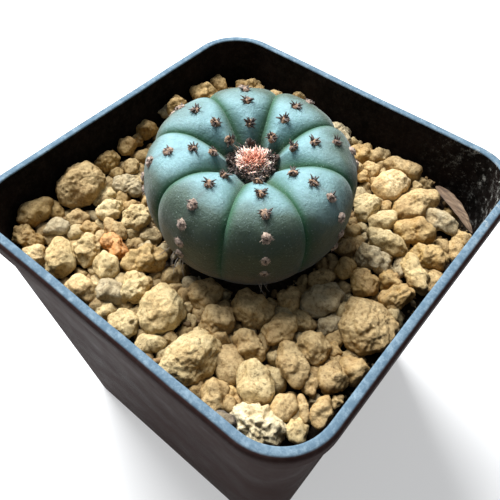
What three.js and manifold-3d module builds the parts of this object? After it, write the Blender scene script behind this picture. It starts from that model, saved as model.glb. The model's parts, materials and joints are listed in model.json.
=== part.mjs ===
// A round ribbed cactus in a small square plastic pot, dressed with loose porous stones.
// Millimetres, +Z up. The origin is the middle of the pot's flat underside.
// Pieces: pot, soil, cactus_body, crown_wool, husk, and one node for each large stone.
import * as THREE from 'three';
import { mergeVertices } from 'three/addons/utils/BufferGeometryUtils.js';
import Module from 'manifold-3d';

const wasm = await Module();
wasm.setup();

// ---- Driving dimensions ----
const potWidth = 70;            // across the rim, flat to flat
const potHeight = 65;
const rimRound = 10;            // radius of the rim's corners, seen from above
const rimSkirtDrop = 3.8;       // how far the turned-down lip hangs
const rimSkirtSetIn = 1.0;      // the wall stands in from the lip by this
const wallThickness = 0.8;
const wallTaper = 0.08;         // the wall leans in this much for each mm downward
const floorThickness = 1.6;
const drainDiameter = 7;
const drainSpread = 17;         // each drain hole's distance from the middle along X and along Y
const drainGrooveDepth = 0.8;
const drainGrooveWidth = 4;

const cactusDiameter = 35;      // across opposite rib crests
const cactusLean = 4;           // degrees, toward +X
const cactusNod = 1.5;          // degrees, toward -Y
const ribCount = 8;
const firstRibBearing = 1.6;    // degrees from +X to the first crest
const grooveDepth = 0.06;       // of the crest radius, where the grooves are deepest

const soilDrop = 10.8;          // the soil's surface below the rim
const cornerDip = 3.2;          // the soil sinks by this in the bare corner
const cornerDipReach = 13;

const fit = 0.3;                // play between neighbouring pieces

// ---- Places that follow from them ----
const rimZ = potHeight;
const potHalf = potWidth / 2;
const wallOuterHalf = potHalf - rimSkirtSetIn;
const wallInnerHalf = wallOuterHalf - wallThickness;
const innerRound = rimRound - rimSkirtSetIn - wallThickness;
const soilZ = rimZ - soilDrop;
const floorZ = floorThickness;
const cactusRadius = cactusDiameter / 2;

const group = new THREE.Group();
group.name = 'potted_round_cactus';

function addNode(name, geometry, colour, roughness) {
  const material = new THREE.MeshStandardMaterial({ color: colour, roughness, metalness: 0 });
  const mesh = new THREE.Mesh(geometry, material);
  mesh.name = name;
  group.add(mesh);
  return mesh;
}

// ---- Shared builders ----

// A seeded source of numbers from 0 to 1, so every build lays the same stones.
function seeded(seed) {
  let state = seed;
  return () => {
    state = (state * 1664525 + 1013904223) % 4294967296;
    return state / 4294967296;
  };
}

function solidOf(geometry) {
  const bare = geometry.clone();
  bare.deleteAttribute('normal');
  bare.deleteAttribute('uv');
  const merged = mergeVertices(bare, 1e-4);
  const vertProperties = Float32Array.from(merged.attributes.position.array);
  const triVerts = Uint32Array.from(merged.index.array);
  return new wasm.Manifold(new wasm.Mesh({ numProp: 3, vertProperties, triVerts }));
}

function geometryOf(solid) {
  const mesh = solid.getMesh();
  const geometry = new THREE.BufferGeometry();
  geometry.setAttribute('position', new THREE.BufferAttribute(Float32Array.from(mesh.vertProperties), 3));
  geometry.setIndex(new THREE.BufferAttribute(Uint32Array.from(mesh.triVerts), 1));
  return geometry;
}

// Corner points of a rounded square ring, counter-clockwise from above.
function squareRing(half, round, cornerSteps, sideSteps) {
  const ring = [];
  const centre = half - round;
  for (let corner = 0; corner < 4; corner += 1) {
    const start = corner * Math.PI / 2;
    const cx = centre * (corner === 0 || corner === 3 ? 1 : -1);
    const cy = centre * (corner < 2 ? 1 : -1);
    for (let step = 0; step <= cornerSteps; step += 1) {
      const angle = start + (step / cornerSteps) * Math.PI / 2;
      ring.push([cx + round * Math.cos(angle), cy + round * Math.sin(angle)]);
    }
    const last = ring[ring.length - 1];
    const nextAngle = start + Math.PI / 2;
    const nx = centre * (corner === 0 || corner === 1 ? -1 : 1) + round * Math.cos(nextAngle);
    const ny = centre * (corner === 0 || corner === 3 ? 1 : -1) + round * Math.sin(nextAngle);
    for (let step = 1; step < sideSteps; step += 1) {
      const share = step / sideSteps;
      ring.push([last[0] + (nx - last[0]) * share, last[1] + (ny - last[1]) * share]);
    }
  }
  return ring;
}

// One closed skin through a row of rings, from a point on the axis to another point on the axis.
function skin(startPoint, rings, endPoint) {
  const count = rings[0].length;
  const positions = [...startPoint];
  const index = [];
  rings.forEach((ring) => ring.forEach((point) => positions.push(...point)));
  positions.push(...endPoint);
  const at = (row, column) => 1 + row * count + (column % count);
  const end = 1 + rings.length * count;
  for (let column = 0; column < count; column += 1) {
    index.push(0, at(0, column + 1), at(0, column));
    index.push(end, at(rings.length - 1, column), at(rings.length - 1, column + 1));
    for (let row = 0; row + 1 < rings.length; row += 1) {
      index.push(at(row, column), at(row, column + 1), at(row + 1, column + 1));
      index.push(at(row, column), at(row + 1, column + 1), at(row + 1, column));
    }
  }
  const geometry = new THREE.BufferGeometry();
  geometry.setAttribute('position', new THREE.Float32BufferAttribute(positions, 3));
  geometry.setIndex(index);
  return geometry;
}

// ---- Pot: one thin moulded shell with a flat rim, a turned-down lip and drain holes ----
const outerHalfAt = (z) => wallOuterHalf - (rimZ - z) * wallTaper;
const innerHalfAt = (z) => wallInnerHalf - (rimZ - z) * wallTaper;
// Lower down the corners grow tighter in step with the wall.
const roundAt = (half, topHalf, topRound) => topRound * half / topHalf;

function potRing(half, topHalf, topRound, z) {
  return squareRing(half, roundAt(half, topHalf, topRound), 6, 1).map(([x, y]) => [x, y, z]);
}

const footEase = 1.0;           // the bottom edge is eased by this
const potRings = [
  potRing(outerHalfAt(0) - footEase, wallOuterHalf, innerRound, 0),
  potRing(outerHalfAt(footEase), wallOuterHalf, innerRound, footEase),
  potRing(outerHalfAt(rimZ - rimSkirtDrop), wallOuterHalf, innerRound, rimZ - rimSkirtDrop),
  potRing(potHalf - 0.2, potHalf, rimRound, rimZ - rimSkirtDrop),
  potRing(potHalf, potHalf, rimRound, rimZ - 0.4),
  potRing(potHalf - 0.3, potHalf, rimRound, rimZ),
  potRing(wallInnerHalf + 0.2, wallInnerHalf, innerRound, rimZ),
  potRing(wallInnerHalf, wallInnerHalf, innerRound, rimZ - 0.3),
  potRing(innerHalfAt(floorZ), wallInnerHalf, innerRound, floorZ),
];
let potSolid = solidOf(skin([0, 0, 0], potRings, [0, 0, floorZ]));
for (const sideX of [-1, 1]) {
  for (const sideY of [-1, 1]) {
    const hole = new THREE.CylinderGeometry(drainDiameter / 2, drainDiameter / 2, 3 * floorThickness, 24);
    hole.rotateX(Math.PI / 2);
    hole.translate(sideX * drainSpread, sideY * drainSpread, floorZ / 2);
    potSolid = potSolid.subtract(solidOf(hole));
    // A shallow groove under the floor carries the water from the hole out to the pot's corner.
    const grooveLength = (potHalf - drainSpread) * Math.SQRT2;
    const groove = new THREE.BoxGeometry(grooveLength, drainGrooveWidth, 2 * drainGrooveDepth);
    groove.translate(grooveLength / 2, 0, 0);
    groove.rotateZ(Math.atan2(sideY, sideX));
    groove.translate(sideX * drainSpread, sideY * drainSpread, 0);
    potSolid = potSolid.subtract(solidOf(groove));
  }
}
addNode('pot', geometryOf(potSolid), 0x1d1c1d, 0.45);

// ---- Cactus: one grown body, from the dimple at its crown down to the tip of its turnip root ----
// Outline of a rib crest, as [share of the radius, height above the rim], from the root tip upward.
const heightUnit = cactusRadius / 17.5;
const crestOutline = [
  [0.10, -40],
  [0.26, -34],
  [0.46, -25],
  [0.58, -17],
  [0.64, -12.6],
  [0.80, -8.8],
  [0.95, -4.2],
  [1.00, 1.2],
  [0.965, 5.6],
  [0.82, 8.6],
  [0.56, 9.4],
  [0.32, 7.9],
  [0.17, 5.2],
].map(([share, z]) => new THREE.Vector2(share * cactusRadius, z * heightUnit));
const crownFloor = 3.9 * heightUnit;
const rootTip = -41 * heightUnit;
const crestSteps = 22;
const crestPoints = new THREE.SplineCurve(crestOutline).getPoints(crestSteps);

// Grooves begin at the soil, are deepest over the shoulder and run into the crown.
const grooveShareAtSoil = 0.12;
const grooveShareAtCrown = 0.4;

function grooveShareAt(z, radius) {
  const rise = THREE.MathUtils.smoothstep(z, -9 * heightUnit, 5 * heightUnit);
  const outward = THREE.MathUtils.smoothstep(radius, 0, 0.3 * cactusRadius);
  const fromSoil = THREE.MathUtils.lerp(grooveShareAtSoil, 1, rise);
  return grooveDepth * fromSoil * THREE.MathUtils.lerp(grooveShareAtCrown, 1, outward);
}

const groovePinch = 3.5;        // higher is narrower
const samplesPerRib = 8;
const cactusRings = crestPoints.map((point) => {
  const ring = [];
  const depth = grooveShareAt(point.y, point.x);
  for (let step = 0; step < ribCount * samplesPerRib; step += 1) {
    const fromCrest = (step / samplesPerRib) % 1;
    const nearGroove = 1 - Math.abs(2 * fromCrest - 1);
    const bearing = THREE.MathUtils.degToRad(firstRibBearing + (360 / ribCount) * step / samplesPerRib);
    const radius = point.x * (1 - depth * nearGroove ** groovePinch);
    // Toward the crown the grooves cut down rather than in.
    const sink = depth * cactusRadius * nearGroove ** groovePinch * THREE.MathUtils.smoothstep(point.y, 3, 9);
    ring.push([radius * Math.cos(bearing), radius * Math.sin(bearing), point.y - sink]);
  }
  return ring;
});

// The plant leans a little, turning about its middle at the soil.
const cactusPose = new THREE.Matrix4()
  .makeTranslation(-0.5, 0, rimZ)
  .multiply(new THREE.Matrix4().makeRotationY(THREE.MathUtils.degToRad(cactusLean)))
  .multiply(new THREE.Matrix4().makeRotationX(THREE.MathUtils.degToRad(cactusNod)));

const cactusGeometry = skin([0, 0, rootTip], cactusRings, [0, 0, crownFloor]).applyMatrix4(cactusPose);
addNode('cactus_body', cactusGeometry, 0x6f9a92, 0.7);

// ---- Crown wool: a low tuft sitting in the dimple ----
const woolRadius = 0.21 * cactusRadius;
const woolBase = crownFloor + 1.2 * heightUnit;
const woolOutline = [[0.45, 0], [0.8, 0.35], [1, 1.2], [0.92, 2.1], [0.62, 2.9], [0.3, 3.2]];
const woolSteps = 20;
const woolRings = woolOutline.map(([share, height]) => {
  const ring = [];
  for (let step = 0; step < woolSteps; step += 1) {
    const bearing = 2 * Math.PI * step / woolSteps;
    const radius = share * woolRadius * (1 + 0.05 * Math.cos(5 * bearing + height));
    ring.push([radius * Math.cos(bearing), radius * Math.sin(bearing), woolBase + height * heightUnit]);
  }
  return ring;
});
const woolTop = [0, 0, woolBase + 3.3 * heightUnit];
const woolGeometry = skin([0, 0, woolBase], woolRings, woolTop).applyMatrix4(cactusPose);
const cactusSolid = solidOf(cactusGeometry);
addNode('crown_wool', woolGeometry, 0xe3b3a4, 1);

// ---- Soil: the fill of the pot, with a socket round the plant's neck and root ----
const bareCorner = new THREE.Vector2(wallInnerHalf - 2, wallInnerHalf - 2);

function soilHeight(x, y) {
  const away = bareCorner.distanceTo(new THREE.Vector2(x, y));
  return soilZ - cornerDip * (1 - THREE.MathUtils.smoothstep(away, 0, cornerDipReach));
}

function soilRing(half, topHalf, z, share) {
  return squareRing(half, roundAt(half, topHalf, innerRound), 4, 3)
    .map(([x, y]) => [x * share, y * share, z ?? soilHeight(x * share, y * share)]);
}

const soilTopHalf = innerHalfAt(soilZ) - fit;
const soilBottomZ = floorZ + fit;
const soilRings = [soilRing(innerHalfAt(soilBottomZ) - fit, wallInnerHalf, soilBottomZ, 1)];
for (const share of [1, 0.9, 0.8, 0.7, 0.55, 0.35]) {
  soilRings.push(soilRing(soilTopHalf, wallInnerHalf, null, share));
}
const socketPoints = crestPoints.map((point) => new THREE.Vector2(point.x + fit, point.y));
socketPoints.unshift(new THREE.Vector2(0, rootTip - fit));
socketPoints.push(new THREE.Vector2(0, crownFloor));
const socket = new THREE.LatheGeometry(socketPoints, 40);
socket.rotateX(Math.PI / 2);
socket.applyMatrix4(cactusPose);
const soilSolid = solidOf(skin([0, 0, soilBottomZ], soilRings, [0, 0, soilZ])).subtract(solidOf(socket));
addNode('soil', geometryOf(soilSolid), 0x3c3228, 1);

// ---- Large stones: the top dressing ----
// Each row: x and y of its middle, its length and width seen from above, its turn in degrees from +X,
// and how far its top lies below the rim. They are laid out for a plant, a wall and a soil surface of
// the listed sizes, and shift with the real ones.
const listedGirth = 17.5;
const listedWall = 32.5;
const listedSoilDrop = 10.8;
const largeStones = [
  // along the -X wall, from the front to the back
  [-27.5, -28.5, 7, 4, 0, 7],
  [-30.5, -24.5, 7.5, 4, 85, 6],
  [-29, -15, 10, 8, 100, 3.8],
  [-30.5, -7, 5, 4, 80, 6.2],
  [-30, 12, 5, 4.5, 10, 4],
  [-29.5, 19.5, 5.5, 5, 175, 4.8],
  [-25, 29.5, 7, 4.5, 30, 7],
  // left of the plant
  [-23.5, -8.5, 6.5, 4, 15, 7.2],
  [-21, -15, 5, 4.5, 110, 6.7],
  [-16.5, -13, 5.5, 5, 130, 6.7],
  // along the -Y wall, from the left to the right
  [-23.5, -30, 5.5, 4, 155, 7.2],
  [-19.5, -27.5, 8, 5.5, 140, 6.2],
  [-11.5, -29.5, 6.5, 4.5, 20, 6.2],
  [-2, -29.5, 5.5, 5, 150, 7.2],
  [10, -27, 11, 8.5, 85, 5.8],
  [24.5, -28.5, 8.5, 5, 5, 6.2],
  // in front of the plant
  [-17.5, -23.5, 7, 5, 125, 6.7],
  [-14.5, -20, 6.5, 3.5, 175, 7.2],
  [-8, -19, 8, 5, 55, 6.2],
  [-5.5, -23.5, 6.5, 5, 100, 6.7],
  [1, -24, 8.5, 7.5, 120, 5.8],
  [4, -17, 5.5, 5, 85, 7.2],
  [9, -19.5, 5.5, 5.5, 90, 6.7],
  [12, -14.5, 7.5, 6, 165, 6.4],
  [15.5, -19.5, 7, 4, 165, 7.2],
  [20.5, -24, 8.5, 5.5, 140, 6.3],
  [17.5, -14.5, 6.5, 5, 95, 6.7],
  [22.5, -18, 7.5, 4.5, 145, 6.3],
  // right of the plant
  [23.5, -13.5, 5.5, 5, 175, 6.7],
  [19.5, -5.5, 8, 5.5, 65, 6.4],
  [28, -5, 11, 9.5, 135, 5.5],
  [23, 1.5, 5.5, 4.5, 115, 6.7],
  [28.5, 2.5, 6.5, 4, 75, 6.7],
  [21.5, 6.5, 6, 4.5, 165, 6.2],
  [28.5, 8.5, 7.5, 3.5, 140, 6.7],
  [28.5, -16, 5.5, 4.5, 115, 6.7],
  // behind and to the right of the plant
  [28.5, 13.5, 7, 5, 15, 6.7],
  [21.5, 11, 8, 4.5, 5, 6.2],
  [24, 16.5, 7.5, 5, 20, 6.2],
  [14, 16.5, 7, 4.5, 95, 7.2],
  [20.5, 23, 10, 6, 75, 6.7],
  [14.5, 24, 8.5, 6, 75, 6.2],
  [14, 29.5, 8, 4.5, 5, 7],
  // behind the plant
  [-24.5, 3, 6.5, 5, 70, 7],
  [-24.5, 11, 7, 5, 110, 6.8],
  [-21.5, 18, 6.5, 5.5, 30, 6.6],
  [-23.5, 24, 6, 4.5, 150, 7.2],
  [-16, 22.5, 7.5, 5.5, 20, 6.5],
  [-17.5, 29, 6.5, 4.5, 5, 6.6],
  [-10, 20.5, 6, 4.5, 80, 7],
  [-9.5, 26.5, 8, 5.5, 160, 6],
  [-2.5, 22.5, 7, 5, 10, 6.8],
  [-1.5, 29, 7, 5, 170, 6.6],
  [6, 22, 6.5, 5, 60, 6.9],
  [5.5, 28.5, 6.5, 4.5, 15, 7.8],
];

const wallDirections = 24;
const wallMargin = 0.7;         // stones are laid out for a wall this much inside the real one
const heightShare = 0.9;        // of a stone's width
const swellDepth = 0.055;       // of a stone's size, for each of its swellings
const nearEnough = 1.15;        // stones closer than this share of touching are kept apart
const sinkShare = 1.2;          // of the way down to the soil, before the soil trims it flat
const stoneTones = [0xcdb184, 0xb8945f, 0xd9c6a0, 0xa8875a];

// The flat places a stone may not cross, each as a unit direction and a distance from the stone's middle.
function wallPlanes(centre) {
  const planes = [];
  for (let step = 0; step < wallDirections; step += 1) {
    const angle = 2 * Math.PI * step / wallDirections;
    const sides = Math.abs(Math.cos(angle)) + Math.abs(Math.sin(angle));
    const reachAtRim = (wallInnerHalf - innerRound) * sides + innerRound;
    const lean = wallTaper * reachAtRim / wallInnerHalf;
    const out = new THREE.Vector3(Math.cos(angle), Math.sin(angle), -lean).normalize();
    const rimPoint = new THREE.Vector3(Math.cos(angle), Math.sin(angle), 0).multiplyScalar(reachAtRim);
    rimPoint.z = rimZ;
    planes.push({ out, reach: rimPoint.sub(centre).dot(out) - fit });
  }
  return planes;
}

const fromCactus = cactusPose.clone().invert();

// The plane between a stone and the nearest point of the plant.
function plantPlane(centre) {
  const local = centre.clone().applyMatrix4(fromCactus);
  const bearing = Math.atan2(local.y, local.x);
  let nearest = null;
  for (const point of crestPoints) {
    const onPlant = new THREE.Vector3(point.x * Math.cos(bearing), point.x * Math.sin(bearing), point.y);
    if (nearest === null || onPlant.distanceTo(local) < nearest.distanceTo(local)) {
      nearest = onPlant;
    }
  }
  const toPlant = nearest.applyMatrix4(cactusPose).sub(centre);
  const reach = toPlant.length() - 2 * fit;
  return { out: toPlant.normalize(), reach };
}

// What lies on the soil keeps its share of the way from the plant to the wall, and grows with the wider
// of the two gaps round it. Where that is too much for a stone, its neighbours trim it.
function settle(x, y) {
  const listedReach = Math.hypot(x, y);
  const wallShare = listedReach / Math.max(Math.abs(x), Math.abs(y));
  const listedGap = listedWall * wallShare - listedGirth;
  const gap = (wallInnerHalf - wallMargin) * wallShare - cactusRadius;
  const reach = cactusRadius + (listedReach - listedGirth) * gap / listedGap;
  const spread = reach / listedReach;
  return { x: x * spread, y: y * spread, growth: Math.max(gap / listedGap, spread) };
}

const stones = largeStones.map(([x, y, length, width, turn, drop], number) => {
  const place = settle(x, y);
  const top = soilZ + listedSoilDrop - drop;
  const height = heightShare * width;
  const half = [place.growth * length / 2, place.growth * width / 2, height / 2];
  const centre = new THREE.Vector3(place.x, place.y, top - height / 2);
  return { number, centre, half, turn: THREE.MathUtils.degToRad(turn) };
});

// ---- Husk: a dry woody sliver lying in the bare corner ----
const huskPlace = settle(26.4, 27.15);
const huskLength = 12.6 * huskPlace.growth;
const huskWidth = 2.4;
const huskThickness = 0.9;
const huskBearing = THREE.MathUtils.degToRad(-31);
const huskOverSoil = 1;
const huskBow = 0.9;
const huskSteps = 8;
const huskRings = [];
for (let step = 1; step < huskSteps; step += 1) {
  const share = step / huskSteps;
  const taper = Math.sin(Math.PI * share ** 0.7) ** 0.6;
  const bow = huskBow * Math.sin(Math.PI * share);
  const ring = [[1, 0], [0.5, 1], [-0.5, 1], [-1, 0], [-0.5, -0.7], [0.5, -0.7]].map(([side, up]) => [
    side * taper * huskWidth / 2,
    up * taper * huskThickness / 2 + bow,
    (share - 0.5) * huskLength,
  ]);
  huskRings.push(ring);
}
const husk = skin([0, 0, -huskLength / 2], huskRings, [0, 0, huskLength / 2]);
husk.rotateX(Math.PI / 2);
husk.rotateZ(huskBearing + Math.PI / 2);
husk.translate(huskPlace.x, huskPlace.y, soilZ + huskOverSoil);
addNode('husk', husk, 0x7d5b46, 0.9);

const huskMiddle = new THREE.Vector3(huskPlace.x, huskPlace.y, soilZ + huskOverSoil + huskBow);
const huskDirection = new THREE.Vector3(Math.cos(huskBearing), Math.sin(huskBearing), 0);
const huskAxis = new THREE.Line3(
  huskMiddle.clone().addScaledVector(huskDirection, -huskLength / 2),
  huskMiddle.clone().addScaledVector(huskDirection, huskLength / 2),
);

// The plane between a stone and the nearest point of the husk.
function huskPlane(centre) {
  const toHusk = huskAxis.closestPointToPoint(centre, true, new THREE.Vector3()).sub(centre);
  const reach = toHusk.length() - huskWidth / 2 - fit;
  return { out: toHusk.normalize(), reach };
}

// How far a stone reaches toward a point, as the rounded lump it is before it meets its neighbours.
function lumpReach(stone, direction) {
  const along = direction.x * Math.cos(stone.turn) + direction.y * Math.sin(stone.turn);
  const across = direction.y * Math.cos(stone.turn) - direction.x * Math.sin(stone.turn);
  const [a, b, c] = stone.half;
  return Math.hypot(a * along, b * across, c * direction.z);
}

function neighbourPlanes(stone) {
  const planes = [];
  for (const other of stones) {
    if (other === stone) {
      continue;
    }
    const between = other.centre.clone().sub(stone.centre);
    const distance = between.length();
    const out = between.normalize();
    const mine = lumpReach(stone, out);
    const theirs = lumpReach(other, out);
    if ((mine + theirs) * nearEnough > distance) {
      planes.push({ out, reach: distance * mine / (mine + theirs) - fit / 2 });
    }
  }
  return planes;
}

function stoneGeometry(stone) {
  const random = seeded(stone.number + 11);
  const waves = [];
  for (let wave = 0; wave < 4; wave += 1) {
    const axis = new THREE.Vector3(random() - 0.5, random() - 0.5, random() - 0.5).normalize();
    waves.push({ axis, phase: 2 * Math.PI * random(), pace: 2.2 + 2.5 * random() });
  }
  const footing = { out: new THREE.Vector3(0, 0, -1), reach: stone.centre.z - soilZ - fit };
  const kept = [plantPlane(stone.centre), huskPlane(stone.centre), footing];
  const planes = [...wallPlanes(stone.centre), ...neighbourPlanes(stone), ...kept];
  const ball = new THREE.IcosahedronGeometry(1, 2);
  const lump = mergeVertices(ball.deleteAttribute('normal').deleteAttribute('uv'), 1e-4);
  const place = lump.attributes.position;
  const [a, b, c] = stone.half;
  for (let corner = 0; corner < place.count; corner += 1) {
    const unit = new THREE.Vector3().fromBufferAttribute(place, corner);
    let swell = 1;
    for (const { axis, phase, pace } of waves) {
      swell += swellDepth * Math.sin(pace * unit.dot(axis) * 2 + phase);
    }
    // Below its middle a stone reaches down far enough to stand on the soil.
    const depth = unit.z < 0 ? Math.max(c, sinkShare * footing.reach) : c;
    const local = new THREE.Vector3(unit.x * a, unit.y * b, unit.z * depth).multiplyScalar(swell);
    local.applyAxisAngle(new THREE.Vector3(0, 0, 1), stone.turn);
    let shrink = 1;
    for (const { out, reach } of planes) {
      const toward = local.dot(out);
      if (toward * shrink > reach) {
        shrink = reach / toward;
      }
    }
    local.multiplyScalar(shrink).add(stone.centre);
    place.setXYZ(corner, local.x, local.y, local.z);
  }
  return lump;
}

stones.forEach((stone) => {
  const label = String(stone.number + 1).padStart(2, '0');
  addNode(`stone_${label}`, stoneGeometry(stone), stoneTones[stone.number % stoneTones.length], 0.95);
});

export default group;
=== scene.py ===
import json
import math

import bmesh
import bpy
import numpy as np
from mathutils import Matrix, Vector, noise
from mathutils.bvhtree import BVHTree


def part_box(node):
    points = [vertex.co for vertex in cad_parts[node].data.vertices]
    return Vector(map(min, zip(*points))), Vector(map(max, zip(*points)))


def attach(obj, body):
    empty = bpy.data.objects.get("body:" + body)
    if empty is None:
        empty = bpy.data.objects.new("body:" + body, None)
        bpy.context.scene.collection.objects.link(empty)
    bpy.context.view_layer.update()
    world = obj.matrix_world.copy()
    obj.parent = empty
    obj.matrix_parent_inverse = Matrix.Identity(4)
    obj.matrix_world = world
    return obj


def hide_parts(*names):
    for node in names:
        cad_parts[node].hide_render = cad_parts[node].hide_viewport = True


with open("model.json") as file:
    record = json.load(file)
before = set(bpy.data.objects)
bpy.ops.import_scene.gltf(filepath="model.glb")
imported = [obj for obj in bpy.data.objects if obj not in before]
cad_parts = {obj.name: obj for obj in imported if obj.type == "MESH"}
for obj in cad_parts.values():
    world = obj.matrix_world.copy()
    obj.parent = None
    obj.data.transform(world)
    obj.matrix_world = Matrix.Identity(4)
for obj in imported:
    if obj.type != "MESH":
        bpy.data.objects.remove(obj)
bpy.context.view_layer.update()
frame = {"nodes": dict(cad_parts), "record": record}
scene = bpy.context.scene
MM = 0.001

# ---------------------------------------------------------------- Pot
# A thin nursery pot of black plastic, moulded in one shot with a flat rim and a turned-down lip, and
# drain holes in its floor. Everything else stands in it, so it comes first. Handling has dulled it and
# hard water has left pale specks on the wall in one corner.
_, pot_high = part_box("pot")
POT_HALF = pot_high.x
RIM_Z = pot_high.z
RIM_ROUND = 10 * MM
LIP_SET_IN = 1.0 * MM
LIP_DROP = 3.8 * MM
WALL_THICKNESS = 0.8 * MM
WALL_TAPER = 0.08
WALL_INNER_HALF = POT_HALF - LIP_SET_IN - WALL_THICKNESS
INNER_ROUND = RIM_ROUND - LIP_SET_IN - WALL_THICKNESS
FLOOR_THICKNESS = 1.6 * MM
FOOT_EASE = 1.0 * MM
LIP_EDGE = 0.95 * MM
INNER_EDGE = 0.3 * MM
SKIRT_CHAMFER = 0.35 * MM
SKIRT_EASE = 0.1 * MM
SKIRT_EASE_RISE = 0.15 * MM
NICK_DEPTH = 0.22 * MM
WARP = 0.25 * MM
DRAIN_RADIUS = 3.5 * MM
DRAIN_SPREAD = 17 * MM
LIME_REACH = 18 * MM
LIME_DEPTH = 16 * MM
LIME_STRENGTH = 1.15


def new_piece(name, verts, faces, material, smooth=True):
    """A mesh object at the origin, with its place in its vertices."""
    mesh = bpy.data.meshes.new(name)
    mesh.from_pydata([tuple(v) for v in verts], [], [tuple(f) for f in faces])
    mesh.polygons.foreach_set("use_smooth", [smooth] * len(mesh.polygons))
    mesh.materials.append(material)
    mesh.update()
    made = bpy.data.objects.new(name, mesh)
    scene.collection.objects.link(made)
    return made


def point_value(obj, name, values):
    """Stores one number per vertex for the material to read."""
    layer = obj.data.attributes.new(name, "FLOAT", "POINT")
    layer.data.foreach_set("value", np.asarray(values, np.float32))


class Paint:
    """A short way to write a material's node tree."""

    def __init__(self, name):
        self.material = bpy.data.materials.new(name)
        self.material.use_nodes = True
        self.tree = self.material.node_tree
        self.surface = self.tree.nodes["Principled BSDF"]
        self.place = self.node("ShaderNodeTexCoord").outputs["Object"]

    def node(self, kind, links=(), **settings):
        made = self.tree.nodes.new(kind)
        for key, value in settings.items():
            setattr(made, key, value)
        for socket, value in dict(links).items():
            self.put(made.inputs[socket], value)
        return made

    def put(self, socket, value):
        if isinstance(value, bpy.types.NodeSocket):
            self.tree.links.new(value, socket)
        else:
            socket.default_value = value

    def value(self, name):
        return self.node("ShaderNodeAttribute", attribute_name=name).outputs["Fac"]

    def noise(self, per_mm, detail=4, roughness=0.55):
        links = {"Vector": self.place, "Scale": per_mm / MM, "Detail": detail, "Roughness": roughness}
        return self.node("ShaderNodeTexNoise", links).outputs["Fac"]

    def cells(self, per_mm):
        links = {"Vector": self.place, "Scale": per_mm / MM}
        return self.node("ShaderNodeTexVoronoi", links).outputs["Distance"]

    def ramp(self, source, stops):
        made = self.node("ShaderNodeValToRGB", {"Fac": source})
        marks = made.color_ramp.elements
        while len(marks) < len(stops):
            marks.new(0.5)
        for mark, (at, colour) in zip(marks, stops):
            mark.position = at
            mark.color = (*colour, 1) if hasattr(colour, "__len__") else (colour, colour, colour, 1)
        return made.outputs["Color"]

    def mix(self, share, low, high, way="MIX"):
        made = self.node("ShaderNodeMix", data_type="RGBA", blend_type=way)
        self.put(made.inputs[0], share)
        self.put(made.inputs[6], low if isinstance(low, bpy.types.NodeSocket) else (*low, 1))
        self.put(made.inputs[7], high if isinstance(high, bpy.types.NodeSocket) else (*high, 1))
        return made.outputs[2]

    def sum(self, first, second, way="ADD"):
        return self.node("ShaderNodeMath", {0: first, 1: second}, operation=way).outputs[0]

    def relief(self, height, depth_mm, strength=1.0):
        """Fine relief of the given depth, stacked on any relief already laid."""
        links = {"Height": height, "Distance": depth_mm * MM, "Strength": strength}
        made = self.node("ShaderNodeBump", links)
        earlier = self.surface.inputs["Normal"].links
        if earlier:
            self.put(made.inputs["Normal"], earlier[0].from_socket)
        self.put(self.surface.inputs["Normal"], made.outputs["Normal"])

    def set(self, **sockets):
        for name, value in sockets.items():
            socket = self.surface.inputs[name.replace("_", " ")]
            is_colour = socket.type == "RGBA" and isinstance(value, tuple)
            self.put(socket, (*value, 1) if is_colour else value)


def square_ring(half, corner, z, corner_steps=18, side_steps=14):
    """Points of a rounded square, counter-clockwise from above."""
    ring = []
    straight = half - corner
    for quarter in range(4):
        start = quarter * math.pi / 2
        cx = straight if quarter in (0, 3) else -straight
        cy = straight if quarter in (0, 1) else -straight
        for step in range(corner_steps + 1):
            angle = start + step / corner_steps * math.pi / 2
            ring.append(Vector((cx + corner * math.cos(angle), cy + corner * math.sin(angle), z)))
        last = ring[-1]
        turned = Matrix.Rotation(math.pi / 2, 3, "Z") @ ring[-1 - corner_steps]
        for step in range(1, side_steps):
            ring.append(last.lerp(turned, step / side_steps))
    return ring


def skin_faces(rows, columns):
    """Quads between rows of a closed sheet whose columns run full circle."""
    faces = []
    for row in range(rows - 1):
        for column in range(columns):
            after = (column + 1) % columns
            faces.append((row * columns + column, row * columns + after,
                          (row + 1) * columns + after, (row + 1) * columns + column))
    return faces


pot_paint = Paint("pot_plastic")
rim_mask = pot_paint.value("rim")
outside_mask = pot_paint.value("outside")
lime_mask = pot_paint.value("lime")
grime = pot_paint.noise(0.12, detail=6, roughness=0.65)
scuffs = pot_paint.ramp(pot_paint.noise(0.9, detail=8, roughness=0.75), [(0.45, 0.0), (0.75, 1.0)])
# The inside of the wall is painted several times darker than the outside of the same plastic: painted shade
# inside the pot.
wall_colour_shaded_inside = pot_paint.ramp(grime, [(0.35, (0.004, 0.0035, 0.003)), (0.7, (0.012, 0.008, 0.007))])
outside_colour = pot_paint.ramp(grime, [(0.35, (0.022, 0.0108, 0.0098)), (0.7, (0.031, 0.0162, 0.0142))])
wall_colour_shaded_inside = pot_paint.mix(outside_mask, wall_colour_shaded_inside, outside_colour)
wall_colour_shaded_inside = pot_paint.mix(pot_paint.sum(scuffs, 0.3, "MULTIPLY"), wall_colour_shaded_inside, (0.05, 0.042, 0.038))
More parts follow.
